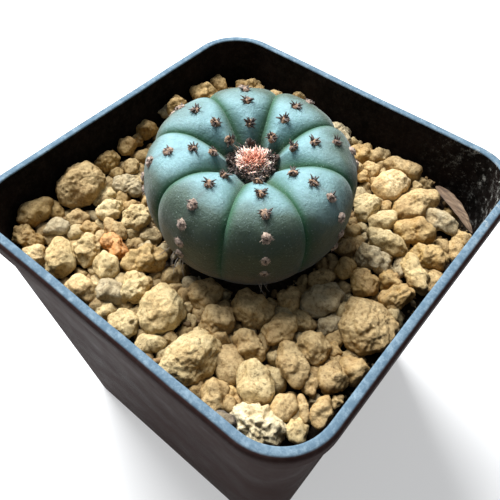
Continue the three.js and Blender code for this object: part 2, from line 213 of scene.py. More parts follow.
# The lip's top is painted pale blue-grey: a painted reflection of the bright sky on the smooth plastic,
# varied by real scuffs.
rim_sky_reflection_colour = pot_paint.mix(scuffs, (0.085, 0.135, 0.18), (0.22, 0.295, 0.35))
body_colour = pot_paint.mix(rim_mask, wall_colour_shaded_inside, rim_sky_reflection_colour)
specks = pot_paint.ramp(pot_paint.noise(0.8, detail=8, roughness=0.8), [(0.53, 0.0), (0.62, 1.0)])
crust = pot_paint.ramp(pot_paint.noise(0.3, detail=8, roughness=0.7), [(0.42, 0.0), (0.56, 1.0)])
lime = pot_paint.sum(pot_paint.sum(specks, crust, "MULTIPLY"), lime_mask, "MULTIPLY")
pot_paint.set(
    Base_Color=pot_paint.mix(lime, body_colour, (0.5, 0.5, 0.46)),
    Roughness=pot_paint.ramp(grime, [(0.3, 0.4), (0.7, 0.6)]),
    Specular_IOR_Level=0.008,
)
pot_paint.relief(pot_paint.noise(3.0, detail=5), 0.03)
pot_paint.relief(scuffs, 0.03)

pot_rows = []


def pot_row(half_at_top, corner_at_top, drop, taper):
    half = half_at_top - drop * taper
    pot_rows.append(square_ring(half, corner_at_top * half / half_at_top, RIM_Z - drop))


OUTER_HALF = POT_HALF - LIP_SET_IN
pot_row(OUTER_HALF - FOOT_EASE, INNER_ROUND, RIM_Z, WALL_TAPER)
for share in (0.0, 0.12, 0.35, 0.65, 1.0):
    down = (RIM_Z - FOOT_EASE) * (1 - share) + LIP_DROP * share
    pot_row(OUTER_HALF, INNER_ROUND, down, WALL_TAPER)
pot_row(POT_HALF - SKIRT_CHAMFER, RIM_ROUND, LIP_DROP, 0)
pot_row(POT_HALF - SKIRT_EASE, RIM_ROUND, LIP_DROP - SKIRT_EASE_RISE, 0)
for step in range(6):
    angle = step / 5 * math.pi / 2
    inset = LIP_EDGE * (1 - math.cos(angle))
    pot_row(POT_HALF - inset, RIM_ROUND - inset, LIP_EDGE * (1 - math.sin(angle)), 0)
# The lip's top, painted pale blue-grey as a painted reflection of the bright sky, reaches one row down over
# each of its rounded edges.
lip_rows_from = len(pot_rows) - 2
for step in range(5):
    angle = step / 4 * math.pi / 2
    inset = INNER_EDGE * (1 - math.sin(angle))
    pot_row(WALL_INNER_HALF + inset, INNER_ROUND + inset, INNER_EDGE * (1 - math.cos(angle)), 0)
lip_rows_to = len(pot_rows) - 2
for share in (0.15, 0.3, 0.5, 0.75, 1.0):
    pot_row(WALL_INNER_HALF, INNER_ROUND, (RIM_Z - FLOOR_THICKNESS) * share, WALL_TAPER)

# Handling has left the lip very slightly wavy, with a few shallow nicks along its edge. Each point also
# stores whether it is on the lip's top, whether it is outside, and how much hard-water lime it carries.
pot_verts = []
rim_values = []
outside_values = []
lime_values = []
for row, ring in enumerate(pot_rows):
    on_lip = lip_rows_from <= row <= lip_rows_to
    for point in ring:
        wave = noise.noise(Vector((point.x, point.y, 0)) / (22 * MM)) * WARP
        near_rim = max(0.0, 1 - (RIM_Z - point.z) / (12 * MM))
        outward = Vector((point.x, point.y, 0)).normalized()
        moved = point - outward * abs(wave) * near_rim
        if on_lip:
            bite = max(0.0, noise.noise(Vector((point.x, point.y, 5)) / (1.6 * MM)) - 0.42)
            moved.z -= bite * NICK_DEPTH
        pot_verts.append(moved)
        rim_values.append(1.0 if on_lip else 0.0)
        outside_values.append(1.0 if row < lip_rows_from else 0.0)
        to_corner = (Vector((WALL_INNER_HALF, WALL_INNER_HALF * 0.85)) - point.xy).length
        high_up = max(0.0, 1 - (RIM_Z - point.z) / LIME_DEPTH)
        inside = 0.0 if row < lip_rows_from else LIME_STRENGTH
        lime_values.append(min(1.0, inside * max(0.0, 1 - to_corner / LIME_REACH) * high_up))
pot_faces = skin_faces(len(pot_rows), len(pot_rows[0]))
count = len(pot_rows[0])
last_row = (len(pot_rows) - 1) * count
pot_faces.append(tuple(reversed(range(count))))
pot_faces.append(tuple(range(last_row, last_row + count)))
pot = new_piece("plant_pot", pot_verts, pot_faces, pot_paint.material)
point_value(pot, "rim", rim_values)
point_value(pot, "outside", outside_values)
point_value(pot, "lime", lime_values)

# The drain holes are cut through the floor with round cutters, which then go.
for side_x in (-1, 1):
    for side_y in (-1, 1):
        cutter_mesh = bpy.data.meshes.new("cutter")
        cutter_shape = bmesh.new()
        bmesh.ops.create_cone(
            cutter_shape, cap_ends=True, segments=36, radius1=DRAIN_RADIUS, radius2=DRAIN_RADIUS,
            depth=4 * FLOOR_THICKNESS,
            matrix=Matrix.Translation((side_x * DRAIN_SPREAD, side_y * DRAIN_SPREAD, FLOOR_THICKNESS / 2)),
        )
        cutter_shape.to_mesh(cutter_mesh)
        cutter_shape.free()
        cutter = bpy.data.objects.new("cutter", cutter_mesh)
        scene.collection.objects.link(cutter)
        cut = pot.modifiers.new("drain", "BOOLEAN")
        cut.object = cutter
        cut.solver = "EXACT"
        bpy.context.view_layer.update()
        cut_mesh = bpy.data.meshes.new_from_object(pot.evaluated_get(bpy.context.evaluated_depsgraph_get()))
        pot.modifiers.clear()
        pot.data = cut_mesh
        bpy.data.objects.remove(cutter)
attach(pot, "root")
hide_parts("pot")

# ---------------------------------------------------------------- Soil
# The loose fill under the stones: dark crumbly grit and broken pumice, poured round the root. Its
# surface is a bumpy sheet down to the wall, with coarser grains strewn over it.
_, soil_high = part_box("soil")
SOIL_Z = soil_high.z
CORNER_DIP = 3.2 * MM
DIP_REACH = 13 * MM
SOIL_BUMP = 0.55 * MM
SOIL_SINK = 0.5 * MM
bare_corner = Vector((WALL_INNER_HALF - 2 * MM, WALL_INNER_HALF - 2 * MM))


def soil_height(x, y):
    away = min(1.0, (Vector((x, y)) - bare_corner).length / DIP_REACH)
    return SOIL_Z - CORNER_DIP * (1 - away * away * (3 - 2 * away))


soil_paint = Paint("soil_mix")
crumb = soil_paint.noise(1.4, detail=8, roughness=0.7)
soil_colour = soil_paint.ramp(crumb, [
    (0.3, (0.008, 0.006, 0.004)), (0.55, (0.03, 0.02, 0.012)), (0.8, (0.11, 0.08, 0.05)),
])
soil_paint.set(Base_Color=soil_colour, Roughness=0.95, Specular_IOR_Level=0.2)
soil_paint.relief(crumb, 0.4)

SOIL_STEPS = 150
wall_here = WALL_INNER_HALF - (RIM_Z - SOIL_Z) * WALL_TAPER - 0.15 * MM
soil_verts = []
for row in range(SOIL_STEPS + 1):
    for column in range(SOIL_STEPS + 1):
        x = (column / SOIL_STEPS * 2 - 1) * wall_here
        y = (row / SOIL_STEPS * 2 - 1) * wall_here
        corner_x = max(0.0, abs(x) - (wall_here - INNER_ROUND))
        corner_y = max(0.0, abs(y) - (wall_here - INNER_ROUND))
        over = math.hypot(corner_x, corner_y) - INNER_ROUND
        if over > 0:
            pull = INNER_ROUND / (INNER_ROUND + over)
            x = math.copysign(abs(x) - corner_x * (1 - pull), x)
            y = math.copysign(abs(y) - corner_y * (1 - pull), y)
        bump = noise.fractal(Vector((x, y, 3 * MM)) / (2.2 * MM), 0.8, 2.2, 4) * SOIL_BUMP
        soil_verts.append((x, y, soil_height(x, y) - SOIL_SINK + bump))
top_count = len(soil_verts)
soil_faces = []
for row in range(SOIL_STEPS):
    for column in range(SOIL_STEPS):
        here = row * (SOIL_STEPS + 1) + column
        soil_faces.append((here, here + 1, here + SOIL_STEPS + 2, here + SOIL_STEPS + 1))
border = list(range(SOIL_STEPS + 1))
border += [row * (SOIL_STEPS + 1) + SOIL_STEPS for row in range(1, SOIL_STEPS + 1)]
border += [SOIL_STEPS * (SOIL_STEPS + 1) + column for column in range(SOIL_STEPS - 1, -1, -1)]
border += [row * (SOIL_STEPS + 1) for row in range(SOIL_STEPS - 1, 0, -1)]
soil_floor = FLOOR_THICKNESS + 0.3 * MM
base_scale = (WALL_INNER_HALF - (RIM_Z - soil_floor) * WALL_TAPER - 0.3 * MM) / wall_here
for index in border:
    x, y, z = soil_verts[index]
    soil_verts.append((x * base_scale, y * base_scale, soil_floor))
for step, index in enumerate(border):
    after = (step + 1) % len(border)
    soil_faces.append((index, top_count + step, top_count + after, border[after]))
soil_faces.append(tuple(top_count + step for step in reversed(range(len(border)))))
soil = new_piece("soil_fill", soil_verts, soil_faces, soil_paint.material)
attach(soil, "root")
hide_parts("soil")

# ---------------------------------------------------------------- Plant
# One grown body, set with its turnip root in the soil: a low round button of eight broad soft ribs,
# parted by narrow grooves that run into the woolly crown. A waxy bloom makes its young skin blue-green
# and dull; low down, where the skin is old and the bloom has worn off, it is dark olive. This run of colour
# is partly painted light: the pale blue-green on top is partly a painted highlight, and the dark olive low
# down is partly painted shade.
CACTUS_RADIUS = 17.5 * MM
RIBS = 8
FIRST_RIB = math.radians(1.6)
CROWN_FLOOR = 3.9 * MM
ROOT_TIP = -41 * MM
# The outline over a rib's crest, as (share of the radius, height above the rim in mm), crown first.
crest_outline = [
    (0.17, 5.2), (0.32, 7.9), (0.56, 9.4), (0.82, 8.6), (0.965, 5.6), (1.00, 1.2), (0.95, -4.2),
    (0.80, -8.8), (0.64, -12.6), (0.58, -17), (0.46, -25), (0.26, -34), (0.10, -40),
]
plant_pose = (
    Matrix.Translation((-0.5 * MM, 0, RIM_Z))
    @ Matrix.Rotation(math.radians(4), 4, "Y")
    @ Matrix.Rotation(math.radians(1.5), 4, "X")
)


def curve_through(points, steps):
    """Points along one smooth curve through the given ones."""
    ends = [points[0], *points, points[-1]]
    made = []
    for before, start, end, after in zip(ends, ends[1:], ends[2:], ends[3:]):
        for step in range(steps):
            t = step / steps
            row = []
            for axis in range(2):
                leaving = (end[axis] - before[axis]) / 2
                arriving = (after[axis] - start[axis]) / 2
                gap = end[axis] - start[axis]
                row.append(start[axis] + t * leaving + t * t * (3 * gap - 2 * leaving - arriving)
                           + t * t * t * (leaving + arriving - 2 * gap))
            made.append(row)
    made.append(list(points[-1]))
    return np.array(made)


crest = curve_through([(share * CACTUS_RADIUS, z * MM) for share, z in crest_outline], 60)
steps_along = np.linalg.norm(np.diff(crest, axis=0), axis=1)
crest_walk = np.concatenate([[0], np.cumsum(steps_along)])


def crest_at(walk):
    """Radius, height and the outward direction at a distance along the crest from the crown."""
    radius = np.interp(walk, crest_walk, crest[:, 0])
    height = np.interp(walk, crest_walk, crest[:, 1])
    span = 0.25 * MM
    ahead_r, ahead_z = (
        np.interp(walk + span, crest_walk, line) - np.interp(walk - span, crest_walk, line)
        for line in crest.T
    )
    long = np.hypot(ahead_r, ahead_z)
    return radius, height, -ahead_z / long, ahead_r / long


def ease(low, high, value):
    t = np.clip((value - low) / (high - low), 0, 1)
    return t * t * (3 - 2 * t)


# Each rib bears its buttons (areoles) at even distances, and neighbouring ribs are out of step.
AREOLE_SPACING = 3.55 * MM
LAST_AREOLE = 25.6 * MM
first_areoles = [6.3, 4.5, 2.9, 4.7, 2.9, 4.3, 5.3, 4.4]
areole_rng = np.random.default_rng(8)
areoles = []
for rib, first in enumerate(first_areoles):
    walk = first * MM
    while walk < LAST_AREOLE:
        areoles.append((rib, walk + areole_rng.normal(0, 0.15) * MM, areole_rng.normal(0, 0.12) * MM))
        walk += AREOLE_SPACING

SOIL_WALK = 27 * MM
visible_rows = np.linspace(0, SOIL_WALK, 205)
buried_rows = np.linspace(SOIL_WALK, crest_walk[-1], 22)[1:]
row_walks = np.concatenate([visible_rows, buried_rows])
COLUMNS_PER_HALF_RIB = 24
half_steps = np.arange(COLUMNS_PER_HALF_RIB) / COLUMNS_PER_HALF_RIB
from_crest = 1 - (1 - half_steps) ** 1.5
rib_shares = np.unique(np.concatenate([from_crest / 2, [0.5], 1 - from_crest[1:] / 2]))
columns = [(rib, share) for rib in range(RIBS) for share in rib_shares]
column_bearings = np.array([FIRST_RIB + (rib + share) * 2 * math.pi / RIBS for rib, share in columns])
nearness = np.array([1 - abs(2 * share - 1) for rib, share in columns])
# How much further down than the others each rib keeps its pale skin: per-rib painted light and shade, laid
# over the real bloom.
rib_bloom_and_light = [0.16, 0.0, -0.05, -0.01, 0.06, 0.13, -0.05, -0.08]
column_bloom_and_light = [
    rib_bloom_and_light[rib] + (rib_bloom_and_light[(rib + 1) % RIBS] - rib_bloom_and_light[rib]) * ease(0, 1, share)
    for rib, share in columns
]

# Rib shape: a broad soft swelling with a narrow slit in the bottom of each groove, a slight swelling round
# each areole, and a fine crease between the youngest ones.
VALLEY_DEPTH = 0.45 * MM
VALLEY_WIDTH = 1.5 * MM
SLIT_DEPTH = 0.5 * MM
SLIT_WIDTH = 0.45 * MM
CREASE_DEPTH = 0.035 * MM
CREASE_WIDTH = 0.2 * MM
BROAD_WAVE = 0.16 * MM
FINE_WAVE = 0.025 * MM
SWELL_AT_AREOLE = 0.22 * MM
DENT_UNDER_AREOLE = 0.16 * MM
cactus_verts = []
groove_values = []
bloom_and_light_values = []
line_values = []
crown_values = []
for walk in row_walks:
    radius, height, out_r, out_z = crest_at(walk)
    to_groove = (1 - nearness) * math.pi * radius / RIBS
    to_crest = nearness * math.pi * radius / RIBS
    rise = 0.1 + 0.9 * ease(-9 * MM, 4 * MM, height)
    at_crown = 0.55 + 0.45 * ease(0.1 * CACTUS_RADIUS, 0.35 * CACTUS_RADIUS, radius)
    near_crown = 1 - ease(0.3 * CACTUS_RADIUS, 0.75 * CACTUS_RADIUS, radius)
    valley = (VALLEY_DEPTH + 0.6 * MM * near_crown) * rise * np.exp(-((to_groove / VALLEY_WIDTH) ** 2))
    slit = SLIT_DEPTH * rise * np.exp(-to_groove / SLIT_WIDTH)
    sink = (valley + slit) * at_crown
    for column, (rib, share) in enumerate(columns):
        bearing = column_bearings[column]
        own_rib = rib if share < 0.5 else (rib + 1) % RIBS
        spot = Vector((radius * math.cos(bearing), radius * math.sin(bearing), height))
        broad = noise.noise(spot / (7 * MM)) * BROAD_WAVE
        fine = noise.noise(spot / (1.7 * MM)) * FINE_WAVE
        down = sink[column] + broad + fine
        aside = to_crest[column]
        side_sign = 1 if share < 0.5 else -1
        for areole_rib, areole_walk, areole_shift in areoles:
            if areole_rib != own_rib:
                continue
            along = walk - areole_walk
            if abs(along) < 3 * MM:
                off = math.hypot(along, aside * side_sign - areole_shift)
                down -= SWELL_AT_AREOLE * math.exp(-((off / (1.1 * MM)) ** 2))
                down += DENT_UNDER_AREOLE * math.exp(-((off / (0.5 * MM)) ** 2))
                if areole_walk < 9.5 * MM:
                    bend = along + 1.75 * MM - 0.35 * aside
                    reach = ease(0.5 * MM, 1.3 * MM, aside)
                    down += CREASE_DEPTH * reach * math.exp(-((bend / CREASE_WIDTH) ** 2))
        cactus_verts.append(plant_pose @ Vector((
            (radius - out_r * down) * math.cos(bearing),
            (radius - out_r * down) * math.sin(bearing),
            height - out_z * down,
        )))
        groove_reach = (0.6 + 0.5 * near_crown) * MM
        groove_values.append(math.exp(-((to_groove[column] / groove_reach) ** 1.3)) * rise)
        bloom_and_light_values.append(1 - walk / SOIL_WALK + column_bloom_and_light[column] * ease(7 * MM, 14 * MM, walk))
        line_values.append(math.exp(-((aside / (0.3 * MM)) ** 2)) * ease(7 * MM, 12 * MM, walk))
        crown_values.append(math.exp(-walk / (2.2 * MM)))
column_count = len(columns)
cactus_faces = [tuple(reversed(face)) for face in skin_faces(len(row_walks), column_count)]
crown_point = len(cactus_verts)
cactus_verts.append(plant_pose @ Vector((0, 0, CROWN_FLOOR)))
root_point = len(cactus_verts)
cactus_verts.append(plant_pose @ Vector((0, 0, ROOT_TIP)))
last_ring = (len(row_walks) - 1) * column_count
for column in range(column_count):
    after = (column + 1) % column_count
    cactus_faces.append((crown_point, column, after))
    cactus_faces.append((root_point, last_ring + after, last_ring + column))
for values, crown_end, root_end in (
    (groove_values, 1, 0), (bloom_and_light_values, 1, 0), (line_values, 0, 0), (crown_values, 1, 0),
):
    values.extend((crown_end, root_end))

cactus_paint = Paint("glaucous_skin")
groove = cactus_paint.value("groove")
bloom = cactus_paint.sum(
    cactus_paint.value("bloom"),
    cactus_paint.sum(cactus_paint.sum(cactus_paint.noise(0.13, detail=4), 0.5, "SUBTRACT"), 0.3, "MULTIPLY"),
)
# The skin ramp runs from pale blue-green at the crown to dark olive at the soil: the bloom's own colour,
# with a painted highlight on top and painted shade low down.
skin_colour = cactus_paint.ramp(bloom, [
    (0.0, (0.09, 0.065, 0.03)), (0.08, (0.042, 0.042, 0.013)), (0.22, (0.032, 0.043, 0.015)),
    (0.4, (0.03, 0.043, 0.016)), (0.52, (0.047, 0.071, 0.041)), (0.66, (0.155, 0.27, 0.28)),
    (1.0, (0.2, 0.395, 0.45)),
])
mottle = cactus_paint.noise(0.45, detail=6, roughness=0.65)
mottling = cactus_paint.ramp(mottle, [(0.3, (0.84, 0.88, 0.86)), (0.7, (1.12, 1.09, 1.1))])
skin_colour = cactus_paint.mix(1.0, skin_colour, mottling, "MULTIPLY")
leathery = cactus_paint.ramp(cactus_paint.noise(1.8, detail=5, roughness=0.7), [
    (0.32, (0.84, 0.86, 0.84)), (0.5, (1.0, 1.0, 1.0)), (0.7, (1.14, 1.12, 1.13)),
])
skin_colour = cactus_paint.mix(1.0, skin_colour, leathery, "MULTIPLY")
# The grooves are painted dark green: partly the skin's own greener colour there and partly painted shade in
# the crease.
groove_share = cactus_paint.ramp(groove, [(0.0, 0.0), (0.35, 0.5), (0.8, 0.95), (1.0, 1.0)])
skin_colour = cactus_paint.mix(groove_share, skin_colour, (0.015, 0.072, 0.022))
line_share = cactus_paint.sum(cactus_paint.value("line"), 0.45, "MULTIPLY")
skin_colour = cactus_paint.mix(line_share, skin_colour, (0.05, 0.045, 0.03))
skin_colour = cactus_paint.mix(cactus_paint.value("crown"), skin_colour, (0.05, 0.07, 0.03))
dots = cactus_paint.ramp(cactus_paint.cells(2.0), [(0.08, 1.0), (0.26, 0.0)])
dusty = cactus_paint.ramp(cactus_paint.noise(0.5, detail=6, roughness=0.8), [(0.45, 0.12), (0.68, 0.6)])
specks = cactus_paint.sum(dots, dusty, "MULTIPLY")
skin_colour = cactus_paint.mix(cactus_paint.sum(specks, 0.7, "MULTIPLY"), skin_colour, (0.45, 0.56, 0.52))
crest_dullness = cactus_paint.ramp(mottle, [(0.3, 0.54), (0.7, 0.68)])
groove_dullness = cactus_paint.sum(groove_share, 0.3, "MULTIPLY")
cactus_paint.set(
    Base_Color=skin_colour,
    Roughness=cactus_paint.sum(crest_dullness, groove_dullness),
    Specular_IOR_Level=0.72,
    Specular_Tint=(0.62, 0.88, 1.0),
    Subsurface_Weight=0.06,
    Subsurface_Radius=(0.6, 1.0, 0.4),
    Subsurface_Scale=0.8 * MM,
    Sheen_Weight=0.2,
    Sheen_Roughness=0.45,
    Sheen_Tint=(0.9, 0.96, 1.0),
)
cactus_paint.relief(cactus_paint.noise(0.9, detail=4), 0.16, 0.7)
cactus_paint.relief(cactus_paint.noise(2.6, detail=6, roughness=0.7), 0.17, 0.9)
cactus_paint.relief(dots, 0.03, 0.7)
cactus = new_piece("ribbed_cactus", cactus_verts, cactus_faces, cactus_paint.material)
point_value(cactus, "groove", groove_values)
point_value(cactus, "bloom", bloom_and_light_values)
point_value(cactus, "line", line_values)
point_value(cactus, "crown", crown_values)
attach(cactus, "root")
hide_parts("cactus_body")

# ---------------------------------------------------------------- Buttons and spines
# Each areole is a small woolly pad that grew on a rib's crest. Young ones, near the crown, hold a few
# dark, soft, claw-like spines; on old ones the spines have dropped and the wool has gone grey.


def unit_ball(splits):
    """Directions and faces of a ball whose faces are all about the same size."""
    ball = bmesh.new()
    bmesh.ops.create_icosphere(ball, subdivisions=splits, radius=1)
    directions = np.array([v.co for v in ball.verts])
    faces = [tuple(v.index for v in f.verts) for f in ball.faces]
    ball.free()
    return directions / np.linalg.norm(directions, axis=1)[:, None], faces


def strew_tree(name):
    """Sets a shape on every point, along the point's own direction, with a random turn and size."""
    tree = bpy.data.node_groups.new(name, "GeometryNodeTree")
    face = tree.interface
    inputs = {}
    for label, kind in (
        ("Geometry", "NodeSocketGeometry"), ("Shapes", "NodeSocketCollection"),
        ("Smallest", "NodeSocketFloat"), ("Largest", "NodeSocketFloat"), ("Spin", "NodeSocketFloat"),
        ("Seed", "NodeSocketInt"), ("Finish", "NodeSocketMaterial"),
    ):
        inputs[label] = face.new_socket(label, in_out="INPUT", socket_type=kind).identifier
    face.new_socket("Geometry", in_out="OUTPUT", socket_type="NodeSocketGeometry")
    add = tree.nodes.new
    link = tree.links.new
    given = add("NodeGroupInput").outputs
    shapes = add("GeometryNodeCollectionInfo")
    shapes.inputs["Separate Children"].default_value = True
    link(given["Shapes"], shapes.inputs["Collection"])
    grows = add("GeometryNodeInputNamedAttribute")
    leans = add("GeometryNodeInputNamedAttribute")
    proportions = add("GeometryNodeInputNamedAttribute")
    for node, attribute in ((grows, "grows"), (leans, "leans"), (proportions, "proportions")):
        node.data_type = "FLOAT_VECTOR"
        node.inputs["Name"].default_value = attribute
    stand = add("FunctionNodeAlignRotationToVector")
    stand.axis = "Z"
    link(grows.outputs["Attribute"], stand.inputs["Vector"])
    face_way = add("FunctionNodeAlignRotationToVector")
    face_way.axis = "X"
    face_way.pivot_axis = "Z"
    link(stand.outputs["Rotation"], face_way.inputs["Rotation"])
    link(leans.outputs["Attribute"], face_way.inputs["Vector"])
    angle = add("FunctionNodeRandomValue")
    angle.data_type = "FLOAT"
    link(given["Seed"], angle.inputs["Seed"])
    link(given["Spin"], angle.inputs[3])
    spin = add("FunctionNodeAxisAngleToRotation")
    spin.inputs["Axis"].default_value = (0, 0, 1)
    link(angle.outputs[1], spin.inputs["Angle"])
    turn = add("FunctionNodeRotateRotation")
    turn.rotation_space = "LOCAL"
    link(face_way.outputs["Rotation"], turn.inputs["Rotation"])
    link(spin.outputs["Rotation"], turn.inputs["Rotate By"])
    size = add("FunctionNodeRandomValue")
    size.data_type = "FLOAT"
    link(given["Seed"], size.inputs["Seed"])
    link(given["Smallest"], size.inputs[2])
    link(given["Largest"], size.inputs[3])
    scaled = add("ShaderNodeVectorMath")
    scaled.operation = "SCALE"
    link(proportions.outputs["Attribute"], scaled.inputs[0])
    link(size.outputs[1], scaled.inputs["Scale"])
    pick = add("FunctionNodeRandomValue")
    pick.data_type = "INT"
    pick.inputs[5].default_value = 1000
    link(given["Seed"], pick.inputs["Seed"])
    placed = add("GeometryNodeInstanceOnPoints")
    placed.inputs["Pick Instance"].default_value = True
    link(given["Geometry"], placed.inputs["Points"])
    link(shapes.outputs[0], placed.inputs["Instance"])
    link(pick.outputs[2], placed.inputs["Instance Index"])
    link(turn.outputs["Rotation"], placed.inputs["Rotation"])
    link(scaled.outputs["Vector"], placed.inputs["Scale"])
    real = add("GeometryNodeRealizeInstances")
    link(placed.outputs["Instances"], real.inputs["Geometry"])
    finish = add("GeometryNodeSetMaterial")
    link(real.outputs["Geometry"], finish.inputs["Geometry"])
    link(given["Finish"], finish.inputs["Material"])
    link(finish.outputs["Geometry"], add("NodeGroupOutput").inputs["Geometry"])
    return tree, inputs


strew, strew_inputs = strew_tree("strew")


def strewn(name, shapes, material, rows, smallest, largest, spin, seed):
    """One mesh of many small shapes. Each row is (place, grows, leans, proportions, tone)."""
    points = bpy.data.meshes.new(name)
    points.from_pydata([tuple(row[0]) for row in rows], [], [])
    for index, label in ((1, "grows"), (2, "leans"), (3, "proportions")):
        layer = points.attributes.new(label, "FLOAT_VECTOR", "POINT")
        values = np.array([tuple(row[index]) for row in rows], np.float32)
        layer.data.foreach_set("vector", values.ravel())
    tone = points.attributes.new("tone", "FLOAT", "POINT")
    tone.data.foreach_set("value", np.array([row[4] for row in rows], np.float32))
    sown = bpy.data.objects.new(name, points)
    scene.collection.objects.link(sown)
    stock = bpy.data.collections.new(name + "_shapes")
    scene.collection.children.link(stock)
    patterns = []
    for index, (verts, faces) in enumerate(shapes):
        mesh = bpy.data.meshes.new(f"{name}_shape_{index}")
        mesh.from_pydata([tuple(v) for v in verts], [], [tuple(f) for f in faces])
        mesh.polygons.foreach_set("use_smooth", [True] * len(mesh.polygons))
        pattern = bpy.data.objects.new(mesh.name, mesh)
        stock.objects.link(pattern)
        patterns.append(pattern)
    sower = sown.modifiers.new("strew", "NODES")
    sower.node_group = strew
    settings = {"Shapes": stock, "Smallest": smallest, "Largest": largest, "Spin": spin, "Seed": seed,
                "Finish": material}
    for label, value in settings.items():
        sower[strew_inputs[label]] = value
    bpy.context.view_layer.update()
    graph = bpy.context.evaluated_depsgraph_get()
    plain = bpy.data.meshes.new_from_object(sown.evaluated_get(graph))
    sown.modifiers.clear()
    sown.data = plain
    for pattern in patterns:
        bpy.data.objects.remove(pattern)
    bpy.data.collections.remove(stock)
    return sown


def whisker(sides, lengths, bend, thickness_at):
    """A tapered, bent hair of unit length, root at the origin, growing up Z and bending toward X."""
    verts = []
    faces = []
    for row, share in enumerate(lengths):
        for side in range(sides):
            angle = 2 * math.pi * side / sides
            thick = thickness_at(share)
            leaned = bend * share * share
            verts.append((leaned + thick * math.cos(angle), thick * math.sin(angle), share))
        if row:
            for side in range(sides):
                after = (side + 1) % sides
                low = (row - 1) * sides
                faces.append((low + side, low + after, row * sides + after, row * sides + side))
    tip = len(verts)
    verts.append((bend, 0, 1.02))
    top = (len(lengths) - 1) * sides
    faces += [(top + side, top + (side + 1) % sides, tip) for side in range(sides)]
    faces.append(tuple(reversed(range(sides))))
    return verts, faces


def areole_frame(rib, walk, shift):
    """Place, outward, downhill and sideways directions of a spot on a rib's crest."""
    radius, height, out_r, out_z = crest_at(walk)
    bearing = FIRST_RIB + rib * 2 * math.pi / RIBS + shift / radius
    around = Vector((math.cos(bearing), math.sin(bearing), 0))
    place = plant_pose @ (around * radius + Vector((0, 0, height)))
    turn = plant_pose.to_3x3()
    outward = turn @ (around * out_r + Vector((0, 0, out_z)))
    downhill = turn @ (around * out_z - Vector((0, 0, out_r)))
    return place, outward, downhill, outward.cross(downhill)


spine_shape = whisker(5, (0, 0.25, 0.5, 0.75, 0.93), 0.3, lambda share: 0.12 * (1 - 0.8 * share))
wool_shape = whisker(3, (0, 0.5, 0.85), 0.3, lambda share: 0.07 * (1 - 0.55 * share))
pad_directions, pad_faces = unit_ball(3)
pad_shapes = []
pad_rng = np.random.default_rng(4)
for _ in range(4):
    seed = Vector(pad_rng.uniform(-9, 9, 3))
    pad_shapes.append((
        [Vector(d) * (1 + 0.35 * noise.noise(Vector(d) * 2.3 + seed)) for d in pad_directions], pad_faces,
    ))
spine_rows = []
pad_rows = []
pad_wool_rows = []
OLD_FROM = 9 * MM
OLD_BY = 17 * MM
PAD_SIZE = 0.78 * MM
PAD_GROWTH = 0.07 * MM
SPINE_LENGTH = 0.8 * MM
SPINE_THICKNESS = 2.3 * MM
WOOL_PER_PAD = 26


def grow_areole(rib, walk, shift, tone, pad_size, spine_count, spine_length):
    """One woolly pad with its short wool and its fan of claw spines."""
    place, outward, downhill, sideways = areole_frame(rib, walk, shift)
    pad_proportions = (pad_size, pad_size * 0.85, pad_size * 0.6)
    seat = place + (outward * 0.05 + downhill * 0.15) * MM
    pad_rows.append((seat, outward, downhill, pad_proportions, tone))
    for _ in range(WOOL_PER_PAD):
        angle = pad_rng.uniform(0, 2 * math.pi)
        out = pad_size * math.sqrt(pad_rng.uniform(0.1, 0.8))
        aside = downhill * math.cos(angle) + sideways * math.sin(angle)
        wool_way = (outward + aside * pad_rng.uniform(0.2, 1.3) + downhill * 0.3).normalized()
        long = pad_rng.uniform(0.35, 0.6) * pad_size
        root = place + aside * out + outward * 0.2 * pad_size + downhill * 0.15 * MM
        pad_wool_rows.append((root, wool_way, aside, (long * 1.4, long * 1.4, long), tone))
    for number in range(spine_count):
        fan = (number + 0.5) / spine_count * 2 - 1 + pad_rng.normal(0, 0.1)
        aside = (sideways * math.sin(fan * 2.3) + downhill * math.cos(fan * 2.3) * 0.8).normalized()
        way = (outward * pad_rng.uniform(0.8, 1.4) + aside * pad_rng.uniform(0.15, 0.75)).normalized()
        long = pad_rng.uniform(0.75, 1.2) * spine_length
        root = place + aside * pad_rng.uniform(0.05, 0.4) * pad_size + outward * 0.15 * MM
        spine_size = (SPINE_THICKNESS, SPINE_THICKNESS, long)
        spine_rows.append((root, way, aside * 0.4 - outward, spine_size, tone))


for rib, walk, shift in areoles:
    age = float(ease(OLD_FROM, OLD_BY, walk))
    size = PAD_SIZE + PAD_GROWTH * age
    spine_total = int(round(pad_rng.uniform(10, 13) * max(0, 1 - 1.25 * age)))
    grow_areole(rib, walk, shift, 0.3 + 0.7 * age, size, spine_total, SPINE_LENGTH * (1 - 0.25 * age))
    # An old button has a hollow where its spines were; a small near-black lump set into the pad is painted
    # shade for that hollow.
    if age > 0.3:
        place, outward, downhill, _ = areole_frame(rib, walk, shift)
        hollow_shade_lump = place + (outward * 0.3 + downhill * 0.12) * MM
        pad_rows.append((hollow_shade_lump, outward, downhill, (0.42 * MM, 0.3 * MM, 0.32 * MM), 0.02))
for rib in range(RIBS):
    for walk, shift in ((0.3, -0.9), (0.2, 0.8), (1.3, 0.0)):
        nearby = any(rib == own and abs(walk * MM - at) < 1.6 * MM for own, at, _ in areoles)
        if not nearby:
            grow_areole(rib, walk * MM, shift * MM, 0.0, 0.6 * MM, 7, 0.8 * MM)

